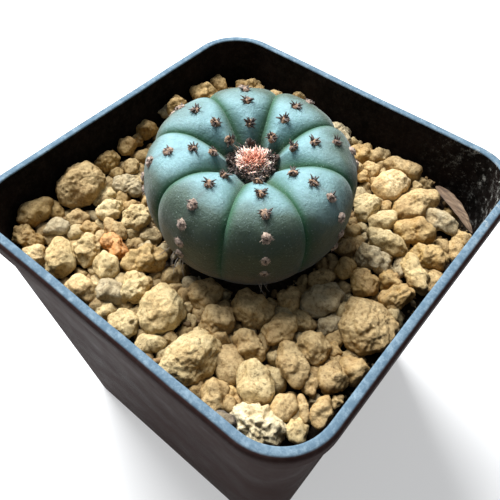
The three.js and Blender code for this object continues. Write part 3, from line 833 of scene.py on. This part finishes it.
pad_paint = Paint("areole_wool")
pad_tone = pad_paint.ramp(pad_paint.value("tone"), [
    (0.0, (0.05, 0.03, 0.022)), (0.3, (0.36, 0.22, 0.13)), (0.6, (0.33, 0.235, 0.18)),
    (1.0, (0.5, 0.38, 0.3)),
])
pad_tufts = pad_paint.noise(2.0, detail=6, roughness=0.7)
pad_dark = pad_paint.ramp(pad_tufts, [(0.36, (0.12, 0.09, 0.08)), (0.6, (1.15, 1.15, 1.15))])
pad_paint.set(
    Base_Color=pad_paint.mix(1.0, pad_tone, pad_dark, "MULTIPLY"), Roughness=0.95,
    Specular_IOR_Level=0.15, Sheen_Weight=0.3, Sheen_Roughness=0.6, Sheen_Tint=(1.0, 0.9, 0.85),
)
pad_paint.relief(pad_paint.noise(5.0, detail=5), 0.12)
spine_paint = Paint("dark_spine")
spine_fade = spine_paint.ramp(spine_paint.noise(1.4, detail=3), [
    (0.35, (0.014, 0.009, 0.008)), (0.7, (0.075, 0.045, 0.032)),
])
spine_paint.set(Base_Color=spine_fade, Roughness=0.55, Specular_IOR_Level=0.4)
spine_paint.relief(spine_paint.noise(6.0, detail=2), 0.02)

pads = strewn("areole_pads", pad_shapes, pad_paint.material, pad_rows, 0.9, 1.1, 0.6, 11)
pad_wool = strewn("areole_wool", [wool_shape], pad_paint.material, pad_wool_rows, 0.8, 1.2, 0.8, 12)
spines = strewn("claw_spines", [spine_shape], spine_paint.material, spine_rows, 0.9, 1.15, 0.5, 13)
for piece in (pads, pad_wool, spines):
    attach(piece, "root")

# ---------------------------------------------------------------- Crown wool
# The growing point's tuft: fine soft wool, orange-pink in the middle and nearly white at its tips, ringed
# by small dark papery scales and the first spines. It grows from the dimple between the ribs.
WOOL_BASE = 4.6 * MM
WOOL_REACH = 3.9 * MM
CLUMP_WIDTH = 0.75 * MM
WOOL_FIBRES = 1900
PAPERY_SCALES = 170
wool_rng = np.random.default_rng(21)
plant_turn = plant_pose.to_3x3()


def in_crown(x, y, z):
    return plant_pose @ Vector((x, y, z))


wool_rows = []
for _ in range(WOOL_FIBRES):
    bearing = wool_rng.uniform(0, 2 * math.pi)
    out = math.sqrt(wool_rng.uniform(0, 1))
    away = Vector((math.cos(bearing), math.sin(bearing), 0))
    spread = 0.56 * WOOL_REACH * (1 + 0.14 * math.sin(2 * bearing) + 0.1 * math.sin(5 * bearing + 1))
    clump = noise.noise(away * out * spread / CLUMP_WIDTH)
    lean = 0.2 + 1.2 * out ** 1.4 + wool_rng.normal(0, 0.22) + 0.7 * clump
    way = plant_turn @ (away * math.sin(lean) + Vector((0, 0, 1)) * math.cos(lean)).normalized()
    long = wool_rng.uniform(0.75, 1.15) * (1.6 - 0.2 * out + 0.9 * clump) * MM
    root = in_crown(*(away * out * spread).xy, WOOL_BASE + (0.9 - 0.7 * out * out) * MM)
    swirl = plant_turn @ Vector((-away.y, away.x, 0))
    curl = swirl if wool_rng.uniform() < 0.5 else -swirl
    wool_rows.append((root, way, curl, (long * 1.5, long * 1.5, long), out))
scale_rows = []
for _ in range(PAPERY_SCALES):
    bearing = wool_rng.uniform(0, 2 * math.pi)
    out = wool_rng.uniform(0.72, 1.12)
    away = Vector((math.cos(bearing), math.sin(bearing), 0))
    lean = wool_rng.uniform(0.5, 1.25)
    way = plant_turn @ (away * math.sin(lean) + Vector((0, 0, 1)) * math.cos(lean)).normalized()
    long = wool_rng.uniform(0.6, 1.15) * MM
    climb = 0.5 * MM + max(0, out - 0.8) * 2.6 * MM
    root = in_crown(*(away * out * WOOL_REACH * 0.8).xy, WOOL_BASE + climb)
    scale_size = (long * 1.7, long * 1.7, long)
    scale_rows.append((root, way, plant_turn @ away, scale_size, wool_rng.uniform()))

wool_paint = Paint("crown_wool_fibre")
wool_colour = wool_paint.ramp(wool_paint.value("tone"), [
    (0.0, (0.66, 0.3, 0.21)), (0.3, (0.68, 0.37, 0.28)), (0.5, (0.72, 0.52, 0.45)),
    (0.75, (0.76, 0.65, 0.59)), (1.0, (0.78, 0.71, 0.65)),
])
wool_shade = wool_paint.ramp(wool_paint.noise(1.2, detail=4), [
    (0.35, (0.72, 0.6, 0.55)), (0.6, (1.12, 1.12, 1.12)),
])
wool_paint.set(
    Base_Color=wool_paint.mix(1.0, wool_colour, wool_shade, "MULTIPLY"), Roughness=0.85,
    Specular_IOR_Level=0.2, Subsurface_Weight=0.15, Subsurface_Scale=0.5 * MM,
)
wool_paint.relief(wool_paint.noise(8.0, detail=2), 0.02)
scale_paint = Paint("papery_scale")
scale_paint.set(
    Base_Color=scale_paint.ramp(scale_paint.value("tone"), [
        (0.0, (0.015, 0.01, 0.008)), (0.6, (0.05, 0.028, 0.02)), (0.85, (0.3, 0.2, 0.14)),
        (1.0, (0.6, 0.5, 0.38)),
    ]),
    Roughness=0.7,
)
scale_paint.relief(scale_paint.noise(5.0, detail=3), 0.04)
crown_wool = strewn("crown_tuft", [wool_shape], wool_paint.material, wool_rows, 0.85, 1.15, 0.9, 22)
crown_scales = strewn("crown_scales", [spine_shape], scale_paint.material, scale_rows, 0.85, 1.2, 0.9, 23)
for piece in (crown_wool, crown_scales):
    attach(piece, "root")
    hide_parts("crown_wool")

# ---------------------------------------------------------------- Root hairs
# A few pale dry roots that show at the plant's foot, where watering has washed the gravel away.
hair_shape = whisker(4, (0, 0.2, 0.4, 0.6, 0.8, 0.95), 0.5, lambda share: 0.035 * (1 - 0.6 * share))
hair_rows = []
hair_rng = np.random.default_rng(31)
for bearing_from, count in ((math.radians(268), 6), (math.radians(316), 4)):
    for _ in range(count):
        bearing = bearing_from + hair_rng.normal(0, 0.06)
        walk = hair_rng.uniform(24.8, 26.4) * MM
        radius, height, out_r, out_z = crest_at(walk)
        around = Vector((math.cos(bearing), math.sin(bearing), 0))
        place = plant_pose @ (around * (radius - 0.1 * MM) + Vector((0, 0, height)))
        way = (around * hair_rng.uniform(0.5, 1.0) - Vector((0, 0, hair_rng.uniform(0.1, 0.7)))).normalized()
        long = hair_rng.uniform(1.4, 2.8) * MM
        droop = Vector((hair_rng.normal(0, 1), hair_rng.normal(0, 1), -1.5))
        hair_rows.append((place, way, droop, (long,) * 3, hair_rng.uniform()))
hair_paint = Paint("dry_root")
hair_colour = hair_paint.ramp(hair_paint.noise(1.0, detail=3), [
    (0.35, (0.16, 0.13, 0.11)), (0.65, (0.4, 0.36, 0.31)),
])
hair_paint.set(Base_Color=hair_colour, Roughness=0.85)
hairs = strewn("root_hairs", [hair_shape], hair_paint.material, hair_rows, 0.8, 1.2, 0.8, 32)
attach(hairs, "root")

# ---------------------------------------------------------------- Large stones
# Loose porous lumps of baked clay and pumice, poured round the plant and settled by hand; each large one
# is its own piece. They are worn round, dull, grainy and pitted, from cream through tan to ochre.
stone_paint = Paint("porous_stone")
own_colour = stone_paint.node("ShaderNodeAttribute", attribute_name="stone_colour").outputs["Color"]
pores = stone_paint.value("pores")
dust = stone_paint.value("dust")
grain = stone_paint.noise(1.9, detail=8, roughness=0.72)
fine_pits = stone_paint.ramp(stone_paint.cells(1.7), [(0.06, 1.0), (0.26, 0.0)])
wide_pits = stone_paint.ramp(stone_paint.cells(0.8), [(0.05, 1.0), (0.2, 0.0)])
pit_places = stone_paint.ramp(stone_paint.noise(0.3, detail=3), [(0.42, 0.0), (0.6, 1.0)])
all_pits = stone_paint.sum(stone_paint.sum(fine_pits, wide_pits, "MAXIMUM"), pit_places, "MULTIPLY")
pitted = stone_paint.sum(all_pits, pores, "MULTIPLY")
patches = stone_paint.ramp(stone_paint.noise(0.22, detail=6, roughness=0.6), [
    (0.3, (0.74, 0.6, 0.42)), (0.46, (0.92, 0.86, 0.76)), (0.56, (1.03, 1.02, 1.0)),
    (0.72, (1.16, 1.2, 1.26)),
])
stone_colour = stone_paint.mix(1.0, own_colour, patches, "MULTIPLY")
# What faces up is painted paler.
stone_colour = stone_paint.mix(dust, stone_colour, (0.60, 0.48, 0.29))
speckle = stone_paint.ramp(grain, [
    (0.33, (0.4, 0.32, 0.22)), (0.46, (0.93, 0.9, 0.86)), (0.64, (1.3, 1.3, 1.3)),
])
stone_colour = stone_paint.mix(0.9, stone_colour, speckle, "MULTIPLY")
# The pits are painted dark brown: painted shade down in them.
stone_colour = stone_paint.mix(stone_paint.sum(pitted, 0.75, "MULTIPLY"), stone_colour, (0.11, 0.06, 0.025))
stone_paint.set(Base_Color=stone_colour, Roughness=0.92, Specular_IOR_Level=0.22)
stone_paint.relief(stone_paint.noise(0.8, detail=3), 0.3, 0.6)
stone_paint.relief(grain, 0.45, 1.0)
stone_paint.relief(stone_paint.sum(1.0, pitted, "SUBTRACT"), 0.25, 0.8)

slot_of = {part["node"]: part["material_slot"] for part in frame["record"]["subparts"]}
slot_tones = {
    "stone_cream": (0.50, 0.395, 0.205),
    "stone_tan": (0.39, 0.275, 0.125),
    "stone_ochre": (0.37, 0.24, 0.085),
    "stone_grey": (0.35, 0.30, 0.20),
}
PUMICE_WHITE = (0.66, 0.585, 0.40)
BAKED_ORANGE = (0.60, 0.27, 0.085)
BRIGHT_CREAM = (0.63, 0.48, 0.26)
own_tones = {11: BRIGHT_CREAM, 13: BRIGHT_CREAM, 16: PUMICE_WHITE, 18: BAKED_ORANGE, 42: BRIGHT_CREAM}
very_porous = (8, 10, 16, 29, 34, 36)
KNOBBLY = 16


def roughen(directions, reach, size, rng, chips=4, knobs=1.0):
    """Turns a smooth lump's reach in each direction into a broken and worn stone's."""
    worn = reach.copy()
    for _ in range(chips):
        facing = rng.normal(size=3)
        facing /= np.linalg.norm(facing)
        toward = directions @ facing
        plane = rng.uniform(0.78, 0.95) * np.max(reach * toward)
        cut = np.where(toward > 0.05, plane / np.maximum(toward, 0.05), np.inf)
        over = np.maximum(worn - cut, 0)
        worn = worn - over * over / (over + 0.06 * size)
    seed = Vector(rng.uniform(-50, 50, 3))
    lumps = np.empty(len(directions))
    for index, (direction, out) in enumerate(zip(directions, reach)):
        spot = Vector(direction * out)
        broad = noise.noise(spot / (0.38 * size) + seed) * 0.085 * size
        middle = noise.noise(spot / (1.7 * MM) + seed) * 0.44 * MM
        crumbs = noise.noise(spot / (0.62 * MM) + seed) * 0.24 * MM
        hollows = max(0.0, noise.noise(spot / (0.95 * MM) - seed) - 0.25) * 0.75 * MM
        lumps[index] = broad + knobs * (middle + crumbs - hollows)
    return worn + lumps


def cad_reach(node, directions):
    """The middle of a CAD node and how far it reaches in each direction."""
    shape = bmesh.new()
    shape.from_mesh(frame["nodes"][node].data)
    bmesh.ops.remove_doubles(shape, verts=shape.verts, dist=1e-6)
    axes = {"use_axis_x": True, "use_axis_y": True, "use_axis_z": True}
    bmesh.ops.smooth_vert(shape, verts=shape.verts, factor=0.5, **axes)
    tree = BVHTree.FromBMesh(shape)
    middle = sum((v.co for v in shape.verts), Vector()) / len(shape.verts)
    reach = np.empty(len(directions))
    for index, direction in enumerate(directions):
        away = Vector(direction)
        hit = tree.ray_cast(middle + away * 50 * MM, -away)
        reach[index] = (hit[0] - middle).dot(away)
    shape.free()
    return middle, reach


def inside_wall(verts):
    """Keeps points off the pot's wall."""
    limit = WALL_INNER_HALF - (RIM_Z - verts[:, 2]) * WALL_TAPER - 0.15 * MM
    verts[:, 0] = np.clip(verts[:, 0], -limit, limit)
    verts[:, 1] = np.clip(verts[:, 1], -limit, limit)
    return verts


def colour_stone(stone, tones, pore_shares):
    """Stores each vertex's own colour, how pitted it is, and how much paler it is painted where it faces up.
    """
    count = len(stone.data.vertices)
    layer = stone.data.attributes.new("stone_colour", "FLOAT_COLOR", "POINT")
    layer.data.foreach_set("color", np.column_stack([tones, np.ones(count)]).astype(np.float32).ravel())
    point_value(stone, "pores", pore_shares)
    normals = np.empty(count * 3, np.float32)
    stone.data.vertices.foreach_get("normal", normals)
    point_value(stone, "dust", 0.3 * ease(0.35, 1.0, normals[2::3]))


# The finer the ball, the smaller the knobs that it can carry.
balls = {splits: unit_ball(splits) for splits in (2, 3, 4, 5, 6)}
SWELL = 1.06
BIG_STONE = 7.5 * MM
large_nodes = sorted(name for name in frame["nodes"] if name.startswith("stone_"))
for node in large_nodes:
    number = int(node.split("_")[1])
    low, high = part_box(node)
    size = sum(high - low) / 3
    rng = np.random.default_rng(100 + number)
    directions, faces = balls[6 if size > BIG_STONE else 5]
    middle, reach = cad_reach(node, directions)
    knobs = 2.0 if number == KNOBBLY else rng.uniform(0.5, 1.1)
    reach = roughen(directions, reach * SWELL, size, rng, knobs=knobs)
    verts = inside_wall(np.array(middle) + directions * reach[:, None])
    stone = new_piece(f"large_{node}", verts, faces, stone_paint.material)
    tone = np.array(own_tones.get(number, slot_tones[slot_of[node]])) * (1 + rng.normal(0, 0.06))
    pore_share = 1.0 if number in very_porous else rng.uniform(0.1, 0.6)
    colour_stone(stone, np.tile(tone, (len(verts), 1)), np.full(len(verts), pore_share))
    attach(stone, "root")
    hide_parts(node)

# ---------------------------------------------------------------- Small stones
# The same stones in smaller sizes, which fill the places between the large ones. Each row is x and y in
# mm, its length and width in mm, its turn in degrees, its top below the rim in mm, and its tone.
C, T, O, G, D = "stone_cream", "stone_tan", "stone_ochre", "stone_grey", "dark"
small_stones = [
    # front left, between the plant and the wall
    (-29.4, -21.1, 4.1, 2.8, 165, 8, O), (-25.1, -23.7, 4.7, 3.5, 58, 7.2, G),
    (-24.8, -25.1, 5.1, 2.6, 37, 9.2, T), (-24.3, -19.9, 4.6, 4.1, 90, 7.7, T),
    (-20.9, -20.2, 3.8, 3.3, 64, 8.2, O), (-25.3, -13, 4.6, 3.6, 88, 7.7, C),
    (-17.2, -17.5, 5.6, 3, 174, 7.2, T), (-30.5, -2, 4.2, 3.6, 132, 6, O),
    (-26.7, -4.6, 4.1, 2.8, 122, 7.7, T), (-27.9, -7.3, 2.9, 2.3, 55, 8.2, O),
    # along the front wall
    (-12.1, -23.8, 5.3, 3.8, 141, 6.7, C), (-7.8, -26.8, 5, 4.2, 37, 6.7, G),
    (-6.1, -29.7, 3.7, 3.3, 108, 8.2, C), (3.4, -28.8, 5.4, 3.1, 54, 8.2, C),
    (17.1, -29.3, 5.5, 3.9, 128, 7.2, T), (19, -27.2, 3.4, 2.6, 148, 8.7, O),
    (20.7, -31.2, 3.4, 2.2, 10, 6.7, D), (14.8, -23.3, 7.2, 4.7, 135, 8.2, T),
    # right of the plant
    (15.3, -9, 4.8, 3.8, 126, 7.7, T), (19.2, -10.5, 4.3, 3, 178, 8.2, T),
    (23, -8.2, 5.4, 3.3, 70, 8.2, G), (16.5, -1.7, 5.1, 2.8, 67, 8.2, T),
    (18.8, 2, 4.5, 3.1, 109, 7.2, O), (26, 4.8, 4.2, 3.8, 3, 7.2, O),
    (31.4, 9.9, 4.8, 2.7, 103, 8.2, T), (30.3, -12.7, 4.7, 3.7, 150, 7.2, T),
    (26.7, -18.4, 3.5, 2.5, 126, 8.2, T), (25.9, -11.4, 3.3, 2.3, 142, 8.7, O),
    (25.8, -24.4, 5, 3.6, 91, 6.7, T), (28, -22.5, 4.5, 1.5, 137, 7.7, T),
    (30.4, -21.4, 5, 2.8, 107, 7.2, T), (31.1, -18.2, 2.7, 1.7, 91, 8.7, T),
    (29.2, -25.6, 3.8, 3.3, 122, 7.2, C),
    # behind the plant
    (8.3, 30.1, 4.8, 3.3, 77, 8, T), (5.4, 29.3, 4.5, 2.8, 118, 8.5, O),
    (9.5, 25.4, 4.1, 2.6, 137, 7.7, T), (9.3, 22.6, 3.8, 2.3, 117, 7.7, O),
    (18.4, 30.1, 5, 3.2, 62, 9.5, T), (16.3, 19.2, 3, 2.1, 75, 8.7, O),
    (18.1, 15.5, 5.8, 3.7, 66, 7.2, C), (25.9, 23, 7.4, 4.1, 171, 8, G),
    (30.7, 22.2, 4.4, 2.8, 160, 9, T), (31.3, 18.8, 4.9, 3.3, 130, 9, T),
    (25.6, 9.1, 4.2, 2.3, 123, 8.7, G), (15, 9.9, 3.9, 2.6, 61, 8.2, O),
    (16.3, 6.1, 3.7, 3.3, 82, 7.7, T), (-30, 24.7, 4.9, 3.4, 160, 6.2, O),
    (-31.4, 10.6, 4.6, 2.6, 54, 6, G), (-31, 4.1, 3.9, 3.5, 23, 5.8, O),
    (-31.3, 1.2, 3.4, 2.4, 87, 7.5, O), (-13.5, 31.9, 3, 2.5, 40, 6, T),
]
slot_tones["dark"] = (0.06, 0.055, 0.06)
small_rng = np.random.default_rng(51)
small_verts = []
small_faces = []
small_colours = []
small_pores = []
directions, faces = balls[4]
for x, y, length, width, turn, drop, tone_name in small_stones:
    angle = math.radians(turn)
    height = width * small_rng.uniform(0.8, 1.0)
    along = directions[:, 0] * math.cos(angle) + directions[:, 1] * math.sin(angle)
    across = directions[:, 1] * math.cos(angle) - directions[:, 0] * math.sin(angle)
    half = np.array([length, width, height]) * SWELL * MM / 2
    turned = np.column_stack([along, across, directions[:, 2]])
    reach = 1 / np.linalg.norm(turned / half, axis=1)
    knobs = 0.15 if tone_name == "dark" else small_rng.uniform(0.6, 1.1)
    reach = roughen(directions, reach, 2 * float(np.mean(half)), small_rng, knobs=knobs)
    middle = np.array([x * MM, y * MM, RIM_Z - (drop + height / 2) * MM])
    small_faces += [tuple(index + len(small_verts) for index in face) for face in faces]
    small_verts.extend(inside_wall(middle + directions * reach[:, None]))
    tone = np.array(slot_tones[tone_name]) * (1 + small_rng.normal(0, 0.08))
    small_colours.extend([tone] * len(directions))
    small_pores.extend([small_rng.uniform(0.0, 0.8)] * len(directions))
small = new_piece("small_stones", small_verts, small_faces, stone_paint.material)
colour_stone(small, np.array(small_colours), small_pores)
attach(small, "root")

# ---------------------------------------------------------------- Gravel and grit
# Broken bits of the same stone and crumbs of soil, which have run down into the gaps and lie on the soil.
shape_rng = np.random.default_rng(61)
gravel_shapes = []
for _ in range(7):
    directions, faces = balls[2]
    reach = np.ones(len(directions))
    squash = np.array([1.0, shape_rng.uniform(0.7, 0.95), shape_rng.uniform(0.6, 0.85)])
    for _ in range(6):
        facing = shape_rng.normal(size=3)
        facing /= np.linalg.norm(facing)
        toward = directions @ facing
        plane = shape_rng.uniform(0.5, 0.8)
        reach = np.where(toward * reach > plane, plane / np.maximum(toward, 0.01), reach)
    seed = Vector(shape_rng.uniform(-9, 9, 3))
    bumps = np.array([noise.noise(Vector(d) * 1.9 + seed) for d in directions])
    gravel_shapes.append((directions * (reach * (1 + 0.34 * bumps))[:, None] * squash, faces))


# The larger ones show their grain and pits as the stones above do.
FILLER_HALF = 2.1 * MM
filler_shapes = []
for _ in range(6):
    directions, faces = balls[3]
    squash = np.array([1.0, shape_rng.uniform(0.72, 0.95), shape_rng.uniform(0.65, 0.9)])
    round_reach = np.full(len(directions), FILLER_HALF)
    reach = roughen(directions, round_reach, 2 * FILLER_HALF, shape_rng) / FILLER_HALF
    filler_shapes.append((directions * reach[:, None] * squash, faces))


def add_to_heap(heap, obj):
    """Adds a mesh's points and faces to a heap that grit can be dropped on."""
    verts, polygons = heap
    start = len(verts)
    verts.extend(v.co.copy() for v in obj.data.vertices)
    polygons.extend(tuple(start + index for index in polygon.vertices) for polygon in obj.data.polygons)


heap = ([], [])
for obj in [soil, cactus, small] + [bpy.data.objects[f"large_{node}"] for node in large_nodes]:
    add_to_heap(heap, obj)
plant_middle = plant_pose @ Vector((0, 0, 0))
FOOT_DEPTH = 12.6 * MM
foot = crest[(crest[:, 1] < 0) & (crest[:, 1] > -FOOT_DEPTH)][::-1]
foot_radii, foot_heights = foot[:, 0], foot[:, 1]
# How the bits keep off the wall, mostly out of the bare corner, and apart from one another.
WALL_GAP = 1.2 * MM
GRAVEL_DROP = 10 * MM
BARE_REACH = 13 * MM
BARE_SHARE = 0.93
CLOSEST = 0.62


def drop_gravel(name, shapes, material, tries, smallest, largest, fill_to, sink, seed):
    """Lets bits fall into the gaps wherever the heap is still lower than the level to fill to."""
    rng = np.random.default_rng(seed)
    tree = BVHTree.FromPolygons(*heap)
    rows = []
    landed = np.empty((0, 3))
    reach = WALL_INNER_HALF - WALL_GAP
    for _ in range(tries):
        x, y = rng.uniform(-reach, reach, 2)
        size = rng.uniform(smallest, largest)
        wall = WALL_INNER_HALF - GRAVEL_DROP * WALL_TAPER - 0.62 * size
        if max(abs(x), abs(y)) > wall:
            continue
        over_x = abs(x) - (reach - INNER_ROUND)
        over_y = abs(y) - (reach - INNER_ROUND)
        if over_x > 0 and over_y > 0 and math.hypot(over_x, over_y) > INNER_ROUND - 0.7 * size:
            continue
        from_axis = math.hypot(x - plant_middle.x, y - plant_middle.y)
        if from_axis < 0.8 * CACTUS_RADIUS + size / 2:
            continue
        in_corner = (Vector((x, y)) - bare_corner).length < BARE_REACH
        if in_corner and size > 1.5 * MM and rng.uniform() < BARE_SHARE:
            continue
        # Under the plant's overhang, bits roll in from the side.
        under = RIM_Z + np.interp(from_axis, foot_radii, foot_heights) - 0.5 * MM
        from_z = under if from_axis < CACTUS_RADIUS else RIM_Z + 12 * MM
        hit = tree.ray_cast(Vector((x, y, from_z)), Vector((0, 0, -1)))
        if hit[0] is None or hit[0].z > RIM_Z - fill_to - size * 0.5:
            continue
        place = np.array([x, y, hit[0].z + size * sink])
        if len(landed) and np.min(np.linalg.norm(landed - place, axis=1)) < size * CLOSEST:
            continue
        landed = np.vstack([landed, place])
        grows = rng.normal(size=3)
        tone = rng.uniform(0, 0.55) if in_corner else rng.uniform(0.2, 1)
        leans = rng.normal(size=3)
        rows.append((place, grows / np.linalg.norm(grows), leans, (size / 2,) * 3, tone))
    made = strewn(name, shapes, material, rows, 0.85, 1.15, 2 * math.pi, seed)
    add_to_heap(heap, made)
    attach(made, "root")
    return made


gravel_paint = Paint("gravel_bits")
gravel_tone = gravel_paint.ramp(gravel_paint.value("tone"), [
    (0.0, (0.035, 0.022, 0.014)), (0.2, (0.13, 0.085, 0.045)), (0.45, (0.29, 0.19, 0.09)),
    (0.7, (0.38, 0.27, 0.14)), (0.88, (0.52, 0.40, 0.23)), (1.0, (0.36, 0.32, 0.24)),
])
gravel_grain = gravel_paint.noise(2.0, detail=7, roughness=0.72)
gravel_shade = gravel_paint.ramp(gravel_grain, [
    (0.3, (0.55, 0.48, 0.4)), (0.5, (0.98, 0.96, 0.93)), (0.7, (1.2, 1.2, 1.2)),
])
gravel_paint.set(
    Base_Color=gravel_paint.mix(0.85, gravel_tone, gravel_shade, "MULTIPLY"), Roughness=0.95,
    Specular_IOR_Level=0.2,
)
gravel_paint.relief(gravel_paint.noise(0.9, detail=3), 0.25, 0.6)
gravel_paint.relief(gravel_grain, 0.16, 0.85)
filler = drop_gravel(
    "filler_stones", filler_shapes, stone_paint.material, tries=7000,
    smallest=2.8 * MM, largest=4.6 * MM, fill_to=8.2 * MM, sink=0.2, seed=71,
)
filler_tones = np.empty(len(filler.data.vertices))
filler.data.attributes["tone"].data.foreach_get("value", filler_tones)
filler_slots = ("stone_ochre", "stone_tan", "stone_cream", "stone_grey")
tone_marks = np.array([slot_tones[slot] for slot in filler_slots])
blended = [np.interp(filler_tones, (0.25, 0.5, 0.75, 1), marks) for marks in tone_marks.T]
# The filler stones are painted a fifth darker than the large ones: painted shade down in the gaps between
# them.
colour_stone(filler, np.column_stack(blended) * 0.8, np.full(len(filler_tones), 0.35))
pebbles = drop_gravel(
    "broken_bits", gravel_shapes, gravel_paint.material, tries=2600,
    smallest=1.4 * MM, largest=2.6 * MM, fill_to=9.4 * MM, sink=0.25, seed=72,
)
grit = drop_gravel(
    "grit", gravel_shapes, gravel_paint.material, tries=5000,
    smallest=0.4 * MM, largest=1.1 * MM, fill_to=10.0 * MM, sink=0.3, seed=73,
)
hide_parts("soil")

# ---------------------------------------------------------------- Husk
# A dry woody sliver, split from some bark or seed case, that has fallen into the bare corner: brown and
# grey, ridged along its length, slightly cupped, and worn to a point at both ends.
husk_low, husk_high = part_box("husk")
husk_middle = (husk_low + husk_high) / 2
HUSK_BEARING = math.radians(-31)
HUSK_LENGTH = 12.5 * MM
HUSK_WIDTH = 2.5 * MM
HUSK_THICKNESS = 0.55 * MM
HUSK_BOW = 0.9 * MM
HUSK_ROWS = 56
HUSK_COLUMNS = 20
husk_along = Vector((math.cos(HUSK_BEARING), math.sin(HUSK_BEARING), 0))
husk_aside = Vector((-husk_along.y, husk_along.x, 0))
husk_verts = []
husk_ridges = []
for row in range(HUSK_ROWS + 1):
    share = row / HUSK_ROWS
    width = HUSK_WIDTH * max(0.03, math.sin(math.pi * share ** 0.75) ** 0.62)
    bow = HUSK_BOW * (math.sin(math.pi * share) - 0.5)
    for column in range(HUSK_COLUMNS):
        angle = 2 * math.pi * column / HUSK_COLUMNS
        side = math.cos(angle)
        ridge = noise.noise(Vector((side * 4.2, share * 1.6, 0 if angle < math.pi else 4)))
        up = math.sin(angle) * HUSK_THICKNESS / 2 * (1 + 0.8 * ridge) + 0.28 * MM * side * side
        ragged = 1 + 0.12 * noise.noise(Vector((share * 9, side, 2)))
        spot = husk_along * (share - 0.5) * HUSK_LENGTH + husk_aside * side * ragged * width / 2
        husk_verts.append(husk_middle + spot + Vector((0, 0, bow + up * width / HUSK_WIDTH)))
        husk_ridges.append(0.5 + 0.5 * ridge)
husk_faces = [tuple(reversed(face)) for face in skin_faces(HUSK_ROWS + 1, HUSK_COLUMNS)]
husk_faces.append(tuple(range(HUSK_COLUMNS)))
husk_faces.append(tuple(HUSK_ROWS * HUSK_COLUMNS + column for column in reversed(range(HUSK_COLUMNS))))
husk_paint = Paint("husk_wood")
husk_turn = husk_paint.node("ShaderNodeMapping", {
    "Vector": husk_paint.place, "Rotation": (0, 0, -HUSK_BEARING), "Scale": (0.12, 1, 1),
}).outputs["Vector"]
husk_grain = husk_paint.node("ShaderNodeTexNoise", {
    "Vector": husk_turn, "Scale": 2.2 / MM, "Detail": 6, "Roughness": 0.65,
}).outputs["Fac"]
husk_wood = husk_paint.ramp(husk_grain, [
    (0.3, (0.045, 0.026, 0.014)), (0.5, (0.125, 0.078, 0.045)), (0.68, (0.23, 0.165, 0.105)),
])
ridge_shade = husk_paint.ramp(husk_paint.value("ridge"), [
    (0.25, (0.6, 0.55, 0.5)), (0.75, (1.25, 1.25, 1.25)),
])
husk_paint.set(Base_Color=husk_paint.mix(1.0, husk_wood, ridge_shade, "MULTIPLY"), Roughness=0.8)
husk_paint.relief(husk_grain, 0.12)
husk = new_piece("dry_husk", husk_verts, husk_faces, husk_paint.material)
point_value(husk, "ridge", husk_ridges)
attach(husk, "root")
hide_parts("husk")

# ---------------------------------------------------------------- Camera, light and floor
# The camera looks down across the pot's front corner. A wide soft light hangs over it.
CAMERA_AZIMUTH = math.radians(38.66)
CAMERA_ELEVATION = math.radians(52.57)
CAMERA_ROLL = math.radians(1.34)
CAMERA_DISTANCE = 87.3 * MM
CAMERA_LENS = 40.84
SENSOR_WIDTH = 36
CAMERA_TARGET = Vector((8.15 * MM, -10.6 * MM, RIM_Z))
back = Vector((
    math.sin(CAMERA_AZIMUTH) * math.cos(CAMERA_ELEVATION),
    -math.cos(CAMERA_AZIMUTH) * math.cos(CAMERA_ELEVATION),
    math.sin(CAMERA_ELEVATION),
))
level_right = Vector((math.cos(CAMERA_AZIMUTH), math.sin(CAMERA_AZIMUTH), 0))
level_up = back.cross(level_right)
right = level_right * math.cos(CAMERA_ROLL) + level_up * math.sin(CAMERA_ROLL)
up = back.cross(right)
camera_data = bpy.data.cameras.new("camera")
camera_data.lens = CAMERA_LENS
camera_data.sensor_width = SENSOR_WIDTH
camera_data.clip_start = 5 * MM
camera = bpy.data.objects.new("camera", camera_data)
turn = Matrix((right, up, back)).transposed().to_4x4()
camera.matrix_world = Matrix.Translation(CAMERA_TARGET + back * CAMERA_DISTANCE) @ turn
scene.collection.objects.link(camera)
scene.camera = camera
scene.view_settings.view_transform = "Standard"


def soft_light(name, place, aim, width, watts, colour):
    data = bpy.data.lights.new(name, "AREA")
    data.energy = watts
    data.size = width
    data.color = colour
    light = bpy.data.objects.new(name, data)
    light.location = place
    light.rotation_euler = (Vector(aim) - Vector(place)).to_track_quat("-Z", "Y").to_euler()
    scene.collection.objects.link(light)


soft_light("window", (-0.47, 0.19, 0.7), (0, 0, RIM_Z), 0.5, 24.0, (0.97, 0.985, 1.0))
world = bpy.data.worlds.new("World")
world.use_nodes = True
scene.world = world
sky = world.node_tree.nodes["Background"]
sky.inputs["Color"].default_value = (0.86, 0.93, 1, 1)
sky.inputs["Strength"].default_value = 0.25
# The floor glows a little as well as being lit: painted light that lifts the shadows on it.
glowing_floor_paint = Paint("pale_floor")
glowing_floor_paint.set(
    Base_Color=(0.5, 0.5, 0.5), Roughness=0.9, Emission_Color=(1.0, 1.0, 1.0), Emission_Strength=0.45,
)
FLOOR_REACH = 0.6
corners = [(x * FLOOR_REACH, y * FLOOR_REACH, 0) for x, y in ((-1, -1), (1, -1), (1, 1), (-1, 1))]
floor = new_piece("floor", corners, [(0, 1, 2, 3)], glowing_floor_paint.material)
